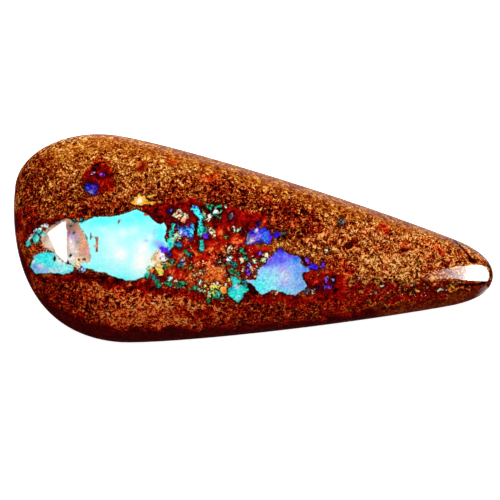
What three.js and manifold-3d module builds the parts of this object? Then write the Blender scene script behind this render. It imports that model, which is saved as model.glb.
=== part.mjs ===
// A polished boulder opal: a pear-shaped freeform of brown ironstone, domed on top and
// sawn flat behind, with a seam of opal running across its face. The opal grew in the
// ironstone, so the stone is one solid.
//
// Millimetres, +Z up. The origin is on the flat back, at the middle of the plan's box.
// +X runs from the round butt to the narrow tip.

import * as THREE from "three";
import { mergeVertices } from "three/addons/utils/BufferGeometryUtils.js";
import Module from "manifold-3d";

// Driving dimensions
const LENGTH = 42; // butt to tip
const WIDTH = 17.8; // across the widest part of the butt
const HEIGHT = 6.2; // flat back to the top of the dome
const GIRDLE_HEIGHT = 1.7; // where the stone is widest, above the flat back
const CROWN = 2; // how much of the height is the gentle dome above the shoulders
const SHOULDER_AT_BUTT = 4.4; // width of the rounded edge, seen from above
const SHOULDER_AT_TIP = 2.3;

// The plan's outline, as shares of half the length and half the width: each row is a cubic
// curve's two handles and its end. The first row starts at the butt, and the rows run
// counterclockwise seen from above: lower flank, tip, upper flank.
const BUTT = [-1, 0.4];
const OUTLINE = [
  [[-1, -0.2], [-0.9, -1], [-0.52, -1]],
  [[-0.38, -1], [0.29, -0.7], [0.82, -0.355]],
  [[0.94, -0.28], [1, -0.17], [1, -0.03]],
  [[1, 0.12], [0.935, 0.235], [0.82, 0.31]],
  [[0.29, 0.66], [-0.44, 1], [-0.63, 1]],
  [[-0.82, 1], [-1, 0.75], BUTT],
];

// The dome's summit, and how far the dome reaches from there
const SUMMIT = [-0.4, 0]; // share of half the length, share of half the width
const REACH_TO_BUTT = 0.3 * LENGTH;
const REACH_TO_TIP = 0.72 * LENGTH;
const REACH_ACROSS = 0.58 * WIDTH;

// The belly below the girdle, before the back is sawn off flat
const BELLY_DEPTH = 1.35 * GIRDLE_HEIGHT;
const BELLY_SQUARENESS = 4; // 2 is an ellipse, and more is fuller

// The bevel ground along the lower flank of the tip: its upper edge is a crease that starts
// at CREASE_START and runs to the tip.
const CREASE_START = new THREE.Vector3(10.5, -1.75, 5.2);
const CREASE_END = new THREE.Vector3(20.4, -0.8, 3.75);
const BEVEL_SLOPE = THREE.MathUtils.degToRad(34); // down towards the girdle

// The small facet ground at the very tip: it starts at FACET_START and falls away along +X.
const FACET_START = new THREE.Vector3(18.2, 0, 4.62);
const FACET_SLOPE = THREE.MathUtils.degToRad(30);

// Mesh fineness
const AROUND = 120;
const RINGS = 36;
const RIM_POINTS = 240;
const MERGE_DISTANCE = 1e-4;

const wasm = await Module();
wasm.setup();

const place = ([along, across]) => [(along * LENGTH) / 2, (across * WIDTH) / 2];

// The plan's outline as one closed path
function planOutline() {
  const plan = new THREE.Shape().moveTo(...place(BUTT));
  for (const row of OUTLINE) plan.bezierCurveTo(...row.flatMap(place));
  return plan;
}

const PLAN = planOutline();
const RIM = PLAN.getSpacedPoints(RIM_POINTS).map(({ x, y }) => new THREE.Vector3(x, y, 0));
const RIM_EDGES = RIM.slice(1).map((end, i) => new THREE.Line3(RIM[i], end));
const SUMMIT_AT = new THREE.Vector2(...place(SUMMIT));

// Distance from a point of the plan to the outline
function insetOf(x, y) {
  const point = new THREE.Vector3(x, y, 0);
  const nearest = new THREE.Vector3();
  const distances = RIM_EDGES.map((edge) =>
    edge.closestPointToPoint(point, true, nearest).distanceTo(point));
  return Math.min(...distances);
}

// Height of the polished top over a point of the plan: a rounded shoulder up from the
// girdle, and a gentle crown that falls away from the summit.
function topHeight(x, y) {
  const along = x - SUMMIT_AT.x;
  const reach = along < 0 ? REACH_TO_BUTT : REACH_TO_TIP;
  const fall = (along / reach) ** 2 + ((y - SUMMIT_AT.y) / REACH_ACROSS) ** 2;
  const width = THREE.MathUtils.mapLinear(
    x, -LENGTH / 2, LENGTH / 2, SHOULDER_AT_BUTT, SHOULDER_AT_TIP);
  const toGo = 1 - Math.min(insetOf(x, y) / width, 1);
  const shoulder = Math.sqrt(1 - toGo * toGo);
  return GIRDLE_HEIGHT + shoulder * (HEIGHT - GIRDLE_HEIGHT - CROWN * fall);
}

// The whole pebble: a sphere whose upper half is drawn out into the dome and whose lower
// half is drawn out into the belly
function pebbleGeometry() {
  const geometry = new THREE.SphereGeometry(1, AROUND, RINGS);
  const position = geometry.getAttribute("position");
  const uv = geometry.getAttribute("uv");
  for (let i = 0; i < position.count; i++) {
    const colatitude = (1 - uv.getY(i)) * Math.PI;
    const isBelly = colatitude > Math.PI / 2;
    const fullness = isBelly ? 2 / BELLY_SQUARENESS : 1;
    const spread = Math.abs(Math.sin(colatitude)) ** fullness;
    const depth = BELLY_DEPTH * Math.abs(Math.cos(colatitude)) ** fullness;
    const around = THREE.MathUtils.euclideanModulo(uv.getX(i), 1);
    const { x, y } = PLAN.getPoint(around).lerp(SUMMIT_AT, 1 - spread);
    position.setXYZ(i, x, y, isBelly ? GIRDLE_HEIGHT - depth : topHeight(x, y));
  }
  return geometry;
}

// A closed geometry as a solid that can be joined and cut
function solidOf(geometry) {
  const bare = geometry.clone().deleteAttribute("normal").deleteAttribute("uv");
  const merged = mergeVertices(bare, MERGE_DISTANCE);
  return new wasm.Manifold(new wasm.Mesh({
    numProp: 3,
    vertProperties: merged.getAttribute("position").array,
    triVerts: new Uint32Array(merged.index.array),
  }));
}

// A solid back as a geometry
function geometryOf(solid) {
  const { vertProperties, triVerts } = solid.getMesh();
  const geometry = new THREE.BufferGeometry();
  geometry.setAttribute("position", new THREE.BufferAttribute(vertProperties, 3));
  geometry.setIndex(new THREE.BufferAttribute(triVerts, 1));
  geometry.computeVertexNormals();
  return geometry;
}

// A block that takes away everything below the flat back
function backCutter() {
  const side = 2 * LENGTH;
  return new THREE.BoxGeometry(side, side, side).translate(0, 0, -side / 2);
}

// A block that grinds the bevel along the lower flank of the tip
function bevelCutter() {
  const side = LENGTH;
  const crease = CREASE_END.clone().sub(CREASE_START).normalize();
  const yaw = Math.atan2(crease.y, crease.x);
  const pitch = Math.asin(-crease.z);
  return new THREE.BoxGeometry(side, side, side)
    .translate(0, 0, side / 2)
    .rotateX(BEVEL_SLOPE)
    .rotateY(pitch)
    .rotateZ(yaw)
    .translate(...CREASE_START.toArray());
}

// A block that grinds the facet at the very tip
function facetCutter() {
  const side = LENGTH;
  return new THREE.BoxGeometry(side, side, side)
    .translate(0, 0, side / 2)
    .rotateY(FACET_SLOPE)
    .translate(...FACET_START.toArray());
}

function boulderOpal() {
  const stone = solidOf(pebbleGeometry())
    .subtract(solidOf(backCutter()))
    .subtract(solidOf(bevelCutter()))
    .subtract(solidOf(facetCutter()));
  const material = new THREE.MeshStandardMaterial({
    color: 0x7a4420,
    roughness: 0.12,
    metalness: 0,
  });
  const mesh = new THREE.Mesh(geometryOf(stone), material);
  mesh.name = "boulder_opal";
  return mesh;
}

const part = new THREE.Group();
part.add(boulderOpal());

export default part;
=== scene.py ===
"""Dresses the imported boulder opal: its polished form, its ironstone grain and its opal seam."""

import logging
import math
from dataclasses import dataclass, field
from enum import Enum
from functools import cached_property
from typing import Iterable, Optional, Protocol, Sequence, Union

import bmesh
import bpy
import numpy as np
from mathutils import Matrix, Vector, noise
from mathutils.geometry import interpolate_bezier


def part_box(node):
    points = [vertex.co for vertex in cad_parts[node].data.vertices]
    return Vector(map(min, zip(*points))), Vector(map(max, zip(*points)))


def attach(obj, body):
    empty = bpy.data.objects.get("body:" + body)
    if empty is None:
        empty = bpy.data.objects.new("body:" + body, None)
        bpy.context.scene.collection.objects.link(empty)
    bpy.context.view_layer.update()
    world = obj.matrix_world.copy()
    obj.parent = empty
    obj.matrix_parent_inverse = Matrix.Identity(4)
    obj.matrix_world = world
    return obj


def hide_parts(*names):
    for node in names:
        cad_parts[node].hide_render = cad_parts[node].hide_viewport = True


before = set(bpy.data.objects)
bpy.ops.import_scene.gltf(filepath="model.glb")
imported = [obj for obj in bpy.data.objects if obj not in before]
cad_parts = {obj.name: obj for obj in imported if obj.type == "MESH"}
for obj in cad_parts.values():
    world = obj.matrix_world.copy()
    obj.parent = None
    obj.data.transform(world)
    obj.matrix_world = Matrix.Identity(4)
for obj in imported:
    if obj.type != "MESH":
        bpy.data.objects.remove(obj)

LOG = logging.getLogger("boulder_opal")

NODE = "boulder_opal"
BODY = "root"
MM = 0.001

# The photograph is square, and every marking is placed by its pixel there.
PHOTO_PIXELS = 500
Pixel = tuple[float, float]

Place = tuple[float, float]
Share = tuple[float, float]
Range = tuple[float, float]
Light = tuple[float, float, float, float]


def to_linear(display: Sequence[float]) -> np.ndarray:
    """Turns a display colour of 0 to 255 into linear light.

    Args:
        display: Red, green and blue as a screen shows them.

    Returns:
        The same colour in linear light, 0 to 1.
    """
    level = np.asarray(display, dtype=float) / 255.0
    return np.where(level <= 0.04045, level / 12.92, ((level + 0.055) / 1.055) ** 2.4)


def smooth_step(value: np.ndarray) -> np.ndarray:
    """Eases 0 to 1 and holds both ends."""
    held = np.clip(value, 0.0, 1.0)
    return held * held * (3.0 - 2.0 * held)


def direction(azimuth: float, elevation: float) -> Vector:
    """Gives the direction from the stone to a place around it.

    Args:
        azimuth: Degrees round from -Y towards +X.
        elevation: Degrees up from the floor.

    Returns:
        The direction, of length 1.
    """
    turn = math.radians(azimuth)
    lift = math.radians(elevation)
    return Vector((math.sin(turn) * math.cos(lift), -math.cos(turn) * math.cos(lift), math.sin(lift)))


def distance_to_path(points: np.ndarray, path: np.ndarray) -> np.ndarray:
    """Measures how far points lie from a run of straight edges.

    Args:
        points: Places in the plane, one row each.
        path: The run's corners, one row each.

    Returns:
        The distance from each place to the nearest edge.
    """
    shortest_edge = 1e-12
    nearest = np.full(len(points), np.inf)
    for start, end in zip(path[:-1], path[1:]):
        edge = end - start
        away = points - start
        share = np.clip(away @ edge / max(edge @ edge, shortest_edge), 0.0, 1.0)
        gap = away - share[:, None] * edge
        nearest = np.minimum(nearest, np.einsum("ij,ij->i", gap, gap))
    return np.sqrt(nearest)


def vertex_places(mesh: bpy.types.Mesh) -> np.ndarray:
    """Reads where a mesh's vertices are.

    Args:
        mesh: The mesh.

    Returns:
        One row of X, Y and Z for each vertex.
    """
    places = np.empty(len(mesh.vertices) * 3)
    mesh.vertices.foreach_get("co", places)
    return places.reshape(-1, 3)


def to_object(name: str, shape: bmesh.types.BMesh) -> bpy.types.Object:
    """Turns a finished shape into an object of the scene.

    Args:
        name: The name of the object and its mesh.
        shape: The shape, which is freed.

    Returns:
        The object, at the origin.
    """
    mesh = bpy.data.meshes.new(name)
    shape.to_mesh(mesh)
    shape.free()
    piece = bpy.data.objects.new(name, mesh)
    bpy.context.collection.objects.link(piece)
    return piece


class Hue(Enum):
    """The stone's colours, as a screen shows them."""

    BLACK = (12, 4, 4)
    BLOOD = (140, 8, 4)
    RUST = (176, 46, 10)
    ORANGE = (232, 106, 24)
    AMBER = (252, 170, 50)
    YELLOW = (255, 214, 84)
    CREAM = (254, 226, 180)
    PEACH = (244, 168, 110)
    WHITE = (255, 254, 250)
    CYAN = (62, 248, 250)
    AQUA = (150, 254, 254)
    PALE_CYAN = (184, 255, 255)
    TURQUOISE = (40, 224, 204)
    TEAL = (8, 120, 120)
    GREEN = (24, 150, 96)
    DARK_GREEN = (14, 52, 34)
    PALE_GREEN = (170, 225, 165)
    LIME = (170, 205, 74)
    POWDER = (156, 202, 255)
    AZURE = (50, 140, 250)
    BLUE = (34, 50, 236)
    NAVY = (20, 16, 120)
    INDIGO = (52, 14, 230)
    PERIWINKLE = (92, 82, 250)
    VIOLET = (104, 34, 246)
    PURPLE = (150, 50, 226)
    LAVENDER = (172, 165, 255)
    PINK = (240, 165, 210)
    MAUVE = (148, 96, 82)
    SALMON = (214, 158, 132)
    GREY = (104, 92, 106)

    @property
    def light(self) -> np.ndarray:
        """The colour in linear light."""
        return to_linear(self.value)


class Shape(Protocol):
    """An area of the photograph with a depth: how far inside its edge a place lies."""

    def depth(self, pixels: np.ndarray) -> np.ndarray:
        """Positive inside and negative outside, in pixels."""


@dataclass(frozen=True)
class Blob:
    """An ellipse, turned by some degrees."""

    at: Pixel
    radii: Pixel
    turn: float = 0.0

    def depth(self, pixels: np.ndarray) -> np.ndarray:
        """Measures the depth inside the ellipse.

        Args:
            pixels: Places in the photograph.

        Returns:
            The depth of each place, in pixels.
        """
        angle = math.radians(self.turn)
        away = pixels - np.array(self.at)
        along = away[:, 0] * math.cos(angle) + away[:, 1] * math.sin(angle)
        across = away[:, 1] * math.cos(angle) - away[:, 0] * math.sin(angle)
        reach = np.hypot(along / self.radii[0], across / self.radii[1])
        return (1.0 - reach) * min(self.radii)


@dataclass(frozen=True)
class Patch:
    """An area inside a closed run of corners."""

    corners: tuple[Pixel, ...]

    def depth(self, pixels: np.ndarray) -> np.ndarray:
        """Measures the depth inside the outline.

        Args:
            pixels: Places in the photograph.

        Returns:
            The depth of each place, in pixels.
        """
        ring = np.array(self.corners + self.corners[:1])
        inside = np.zeros(len(pixels), dtype=bool)
        for (x0, y0), (x1, y1) in zip(ring[:-1], ring[1:]):
            if y0 == y1:
                continue
            crosses = (pixels[:, 1] < y0) != (pixels[:, 1] < y1)
            where = x0 + (pixels[:, 1] - y0) * (x1 - x0) / (y1 - y0)
            inside ^= crosses & (pixels[:, 0] < where)
        return np.where(inside, 1.0, -1.0) * distance_to_path(pixels, ring)


@dataclass(frozen=True)
class Vein:
    """A line with a width."""

    route: tuple[Pixel, ...]
    width: float

    def depth(self, pixels: np.ndarray) -> np.ndarray:
        """Depth inside the line's edges, in pixels."""
        return self.width / 2.0 - distance_to_path(pixels, np.array(self.route))


@dataclass(frozen=True)
class Tint:
    """A soft spot of another colour inside a marking."""

    hue: Hue
    at: Pixel
    radii: Pixel
    strength: float = 1.0

    def weight(self, pixels: np.ndarray) -> np.ndarray:
        """How much of the spot's colour each place takes."""
        away = (pixels - np.array(self.at)) / np.array(self.radii)
        return self.strength * np.exp(-np.einsum("ij,ij->i", away, away))


@dataclass(frozen=True)
class Marking:
    """A piece of opal, or of another mineral, that shows in the face. A few markings, and some of their
    tints, are painted glints and painted reflection of the polish.

    Later tints lie over earlier ones. The mottle is how restless its colour and its edge are.
    """

    shape: Shape
    hue: Hue
    tints: tuple[Tint, ...] = ()
    mottle: float = 0.6

    def colour(self, pixels: np.ndarray) -> np.ndarray:
        """Gives the marking's colour at each place.

        Args:
            pixels: Places in the photograph.

        Returns:
            One row of linear red, green and blue for each place.
        """
        colours = np.tile(self.hue.light, (len(pixels), 1))
        for tint in self.tints:
            weight = tint.weight(pixels)[:, None]
            colours = colours * (1.0 - weight) + tint.hue.light * weight
        return colours


@dataclass(frozen=True)
class Zone:
    """A part of the ironstone that differs from the rest, fading over some pixels at its edge. A few zones
    are painted shade, painted sheen and painted light rather than the stone's own colour.

    The tone runs from 0, black, to 1, pale. The grain is its contrast. Red is 0 on brown stone, 1 on rust
    and more on blood red. Flecks raise the chance of a bright grain, and clump is the contrast of larger
    lumps. What a zone leaves out stays as it was.
    """

    shape: Shape
    fade: float
    tone: Optional[float] = None
    grain: Optional[float] = None
    red: Optional[float] = None
    flecks: Optional[float] = None
    clump: Optional[float] = None


# A dot is drawn a little large, because its ragged edge eats into it.
DOT_EXTRA = 0.3
DOT_MOTTLE = 1.1


def dots(hue: Hue, *places: tuple[float, float, float]) -> tuple[Marking, ...]:
    """Makes round markings of one colour.

    Args:
        hue: Their colour.
        places: The pixel and the radius of each.

    Returns:
        The markings.
    """
    return tuple(Marking(Blob((x, y), (radius + DOT_EXTRA,) * 2), hue, mottle=DOT_MOTTLE)
                 for x, y, radius in places)


# The opal seam, from the butt to the tip
BUTT_SEAM_AND_REFLECTION = (
    # Salmon and mauve opal at the butt; its white and cream tints are painted reflection, the soft veil round
    # the highlight that the polish mirrors there
    Marking(
        Patch(((41, 238), (45, 230.6), (50, 226.2), (58, 221.4), (66, 218), (80, 222), (83, 231), (87, 240),
               (90, 250), (91, 257), (89, 262), (81, 262), (73, 264), (66, 263), (57, 255), (50, 250),
               (43, 246))),
        Hue.SALMON,
        (
            Tint(Hue.MAUVE, (71, 226), (10, 6), 1.0),
            Tint(Hue.LAVENDER, (71, 237), (3.4, 5), 0.6),
            Tint(Hue.GREY, (69, 233), (1.6, 3), 0.9),
            Tint(Hue.GREY, (77, 242), (1.6, 3), 0.8),
            Tint(Hue.WHITE, (72, 247), (4.4, 6), 0.75),
            Tint(Hue.LAVENDER, (76.5, 238), (2, 3), 0.5),
            Tint(Hue.PINK, (89.4, 249), (2, 5), 0.7),
            Tint(Hue.CREAM, (78, 260), (9, 3), 0.9),
            Tint(Hue.WHITE, (70, 259), (6, 5), 0.85),
            Tint(Hue.CREAM, (50, 245), (6, 4), 0.8),
            Tint(Hue.WHITE, (53, 241), (6, 7), 0.7),
            Tint(Hue.MAUVE, (57, 222.6), (9, 3.4), 0.9),
            Tint(Hue.GREY, (58, 222.4), (6, 2), 0.6),
            Tint(Hue.GREY, (74.5, 232), (1.6, 2), 0.7),
            Tint(Hue.WHITE, (76, 251), (2.6, 2), 0.7),
            Tint(Hue.WHITE, (70.5, 241), (1.6, 3), 0.8),
            Tint(Hue.PEACH, (84, 244), (3, 6), 0.5),
        ),
        mottle=0.45,
    ),
    Marking(
        Patch(((34, 257), (38, 254), (44, 252.5), (51, 252), (55, 254), (61, 261), (67, 263.5), (73, 265),
               (74, 269), (70, 273.5), (61, 274), (48, 273), (36, 273.5), (32, 269), (31, 264), (33, 260))),
        Hue.CYAN,
        (
            Tint(Hue.LAVENDER, (38, 268), (6, 4), 0.9),
            Tint(Hue.LAVENDER, (47, 271), (6, 2.4), 0.8),
            Tint(Hue.WHITE, (41, 266), (3, 2), 0.7),
            Tint(Hue.WHITE, (33, 261), (2, 4), 0.8),
            Tint(Hue.WHITE, (54, 271), (8, 2.4), 0.6),
            Tint(Hue.BLUE, (34.5, 266), (2, 2), 0.7),
            Tint(Hue.PALE_CYAN, (65, 267), (9, 5), 0.8),
            # Painted reflection: this white tint carries the butt's mirrored highlight on into the cyan lobe
            Tint(Hue.WHITE, (62, 259.4), (7, 4), 1.0),
        ),
        mottle=0.45,
    ),
    Marking(Patch(((29, 247), (34, 244), (44, 246), (49, 249), (46, 252), (39, 253), (33, 257), (29, 253))),
            Hue.RUST, (Tint(Hue.ORANGE, (33, 250.7), (3, 2)), Tint(Hue.SALMON, (46, 249), (2, 2))), 1.0),
    Marking(Blob((36.6, 238.5), (3.0, 4.2), 20), Hue.TURQUOISE, (Tint(Hue.AQUA, (37.5, 239), (1.6, 2.4)),)),
    Marking(Blob((43.5, 234.3), (3.0, 2.2)), Hue.TURQUOISE, (Tint(Hue.WHITE, (43, 235), (1.5, 1.2), 0.6),)),
    Marking(Blob((28.3, 243.2), (2.2, 2.4)), Hue.TURQUOISE),
    Marking(Blob((38.5, 231.4), (2.8, 1.6), -40), Hue.CYAN),
    Marking(Vein(((29, 240), (32.5, 234), (36, 229.5), (41, 228.5)), 1.1), Hue.WHITE, mottle=0.2),
    Marking(Vein(((32, 238.4), (35, 233.8), (39.5, 230.2)), 1.3), Hue.NAVY),
    Marking(Blob((45.4, 225.4), (3.0, 1.7)), Hue.WHITE, (Tint(Hue.NAVY, (46.5, 224.4), (2, 0.8)),)),
    Marking(Blob((77.7, 265.6), (3.2, 3.0)), Hue.CREAM, (Tint(Hue.GREY, (77.5, 268), (3, 1)),), 0.9),
    Marking(Blob((82.5, 270.5), (3.0, 2.2)), Hue.POWDER, mottle=0.9),
    *dots(Hue.TEAL, (74.2, 221.4, 2.0), (81.2, 220.6, 2.0), (71, 225, 1.2)),
)

MAIN_BAR = Marking(
    Patch(((79, 223), (87, 221), (94, 217), (107, 216), (119, 216), (129, 212), (136, 208.5), (141, 211),
           (148, 215), (154.5, 221), (160, 225), (164, 222.6), (166.3, 227.5), (165.8, 234), (164, 238),
           (166.6, 243.5), (171, 250), (168, 252), (161, 251), (159, 256), (155, 263), (150, 271), (146, 275),
           (136, 280), (127, 280), (119, 278), (112, 276), (107, 273), (98, 272), (92, 269), (85, 268),
           (80, 264), (90, 262), (91, 256), (89.5, 248), (87.3, 240), (85.5, 235), (83, 231), (80, 227))),
    Hue.AQUA,
    (
        Tint(Hue.PALE_CYAN, (112, 254), (19, 20), 0.85),
        Tint(Hue.CYAN, (104, 221), (26, 6), 0.8),
        Tint(Hue.CYAN, (138, 216), (14, 7), 0.8),
        Tint(Hue.CYAN, (95, 268), (11, 3), 0.4),
        Tint(Hue.CYAN, (160, 231), (6, 9), 0.75),
        Tint(Hue.CYAN, (124, 278), (16, 4), 0.6),
        Tint(Hue.WHITE, (121, 254), (8, 7), 0.95),
        Tint(Hue.WHITE, (123, 233), (4, 4), 0.6),
        Tint(Hue.WHITE, (141, 262), (11, 13), 1.0),
        Tint(Hue.WHITE, (143, 248), (8, 9), 0.85),
        Tint(Hue.PALE_CYAN, (130, 258), (2.4, 5), 0.7),
        Tint(Hue.WHITE, (112, 240), (8, 10), 0.45),
        Tint(Hue.WHITE, (134, 231), (5, 4), 0.5),
        Tint(Hue.WHITE, (150, 237), (3, 2.4), 0.7),
        Tint(Hue.CYAN, (153, 245), (3, 4), 0.5),
        Tint(Hue.POWDER, (154.6, 232), (2.4, 5), 0.8),
        Tint(Hue.LAVENDER, (146, 240.6), (2.4, 1.6), 0.7),
        Tint(Hue.CYAN, (159, 238), (4, 4), 0.7),
        Tint(Hue.AZURE, (162, 244), (3, 2.4), 0.6),
        Tint(Hue.LAVENDER, (157, 243), (4, 3), 1.0),
        Tint(Hue.PERIWINKLE, (160, 246.6), (3, 2), 0.8),
        Tint(Hue.VIOLET, (163.8, 249.4), (4.2, 3.0), 1.0),
        Tint(Hue.INDIGO, (168.6, 250.8), (3.2, 2.2), 1.0),
        Tint(Hue.CREAM, (152, 262), (4, 5), 0.6),
    ),
    mottle=0.14,
)

BAR_FLAKES = (
    Marking(Vein(((90.6, 233.5), (91.2, 243)), 0.9), Hue.NAVY),
    Marking(Vein(((96.4, 238), (97, 244), (97.4, 251)), 2.4), Hue.RUST,
            (Tint(Hue.PEACH, (95.8, 246), (2, 3)),)),
    Marking(Blob((94.6, 246), (1.6, 1.4)), Hue.PEACH),
    Marking(Blob((92.3, 236), (1.4, 1.6)), Hue.PEACH),
    Marking(Blob((119.2, 221.8), (1.3, 2.0), 30), Hue.RUST),
    Marking(Blob((146, 214.4), (2.0, 1.6)), Hue.RUST),
    Marking(Blob((54.6, 259), (1.7, 2.6)), Hue.BLACK),
    *dots(Hue.BLACK, (70.4, 255.8, 1.2), (83.8, 259, 1.2), (79, 259, 1.0), (67.5, 262, 1.1), (74, 233, 1.0)),
)

GOLD = (
    Marking(Blob((163.6, 249.2), (5.0, 2.8), 12), Hue.VIOLET,
            (Tint(Hue.PERIWINKLE, (159.6, 248), (2, 2)), Tint(Hue.INDIGO, (168, 250), (2.4, 2)))),
    Marking(
        Patch(((152, 254), (158, 251), (165, 255), (167, 260), (162, 264), (156, 265), (151, 268),
               (149, 263))),
        Hue.WHITE,
        (
            Tint(Hue.CREAM, (160, 263), (7, 5), 0.9),
            Tint(Hue.PEACH, (156.5, 253), (2.4, 2.4), 0.8),
            Tint(Hue.RUST, (154, 259), (1.6, 3), 0.8),
            Tint(Hue.ORANGE, (158, 262), (2, 2), 0.8),
            Tint(Hue.PALE_GREEN, (149, 267), (3, 3), 0.8),
        ),
        mottle=0.5,
    ),
    Marking(Patch(((130, 202.6), (134.6, 200.6), (133, 197), (137.4, 197.6), (139.6, 193.6), (141.4, 196.6),
                   (146.6, 193.8), (144.6, 198.6), (149, 200.4), (145, 202.4), (142, 206), (138, 204.8))),
            Hue.AMBER, (Tint(Hue.ORANGE, (139, 200), (8, 6), 0.5), Tint(Hue.YELLOW, (139.6, 200), (4, 4)),
                        Tint(Hue.WHITE, (139.4, 200.8), (2.2, 2.6))), 0.4),
    Marking(Vein(((144, 203.4), (150, 203.2), (155, 202.4), (161, 202.6)), 2.2), Hue.AMBER,
            (Tint(Hue.ORANGE, (157, 203), (5, 2)),)),
    Marking(Vein(((147, 196.6), (152, 196), (156, 194.8)), 1.6), Hue.AMBER,
            (Tint(Hue.ORANGE, (156, 195), (3, 2)),)),
    Marking(Blob((155.5, 258), (4, 5), 20), Hue.CREAM, (Tint(Hue.RUST, (155, 258), (1.5, 2.5), 0.8),), 0.5),
    Marking(Blob((162.8, 259.2), (3.2, 3.4)), Hue.WHITE, (Tint(Hue.CREAM, (162, 262), (3, 2)),)),
    Marking(Blob((159, 266.8), (3.2, 4.4), -12), Hue.YELLOW, (Tint(Hue.CREAM, (158, 264.6), (2, 2)),), 0.6),
    Marking(Blob((161, 272), (2.4, 3.2)), Hue.YELLOW, mottle=0.7),
    Marking(Blob((168.6, 264.4), (3.0, 1.9), 20), Hue.AMBER),
    Marking(Blob((151, 270.4), (2.6, 2.8)), Hue.ORANGE, (Tint(Hue.AMBER, (151.6, 269.6), (1.4, 1.4)),)),
    Marking(Blob((157, 251.5), (2.4, 2.2)), Hue.CREAM),
    Marking(Blob((148, 268.8), (2.2, 2.4)), Hue.PALE_GREEN),
    Marking(Blob((147, 274.6), (2.6, 3.0)), Hue.TURQUOISE, (Tint(Hue.GREEN, (147, 276), (2, 1.5)),)),
    Marking(Patch(((220.4, 286.4), (223, 286.8), (226.6, 285.8), (226, 290), (227.4, 292.6), (223.6, 294.2),
                   (221.2, 292.6), (219.4, 290))),
            Hue.AMBER, (Tint(Hue.YELLOW, (222, 287.6), (2, 2)), Tint(Hue.ORANGE, (225, 291), (1.6, 2))), 0.4),
)

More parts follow.
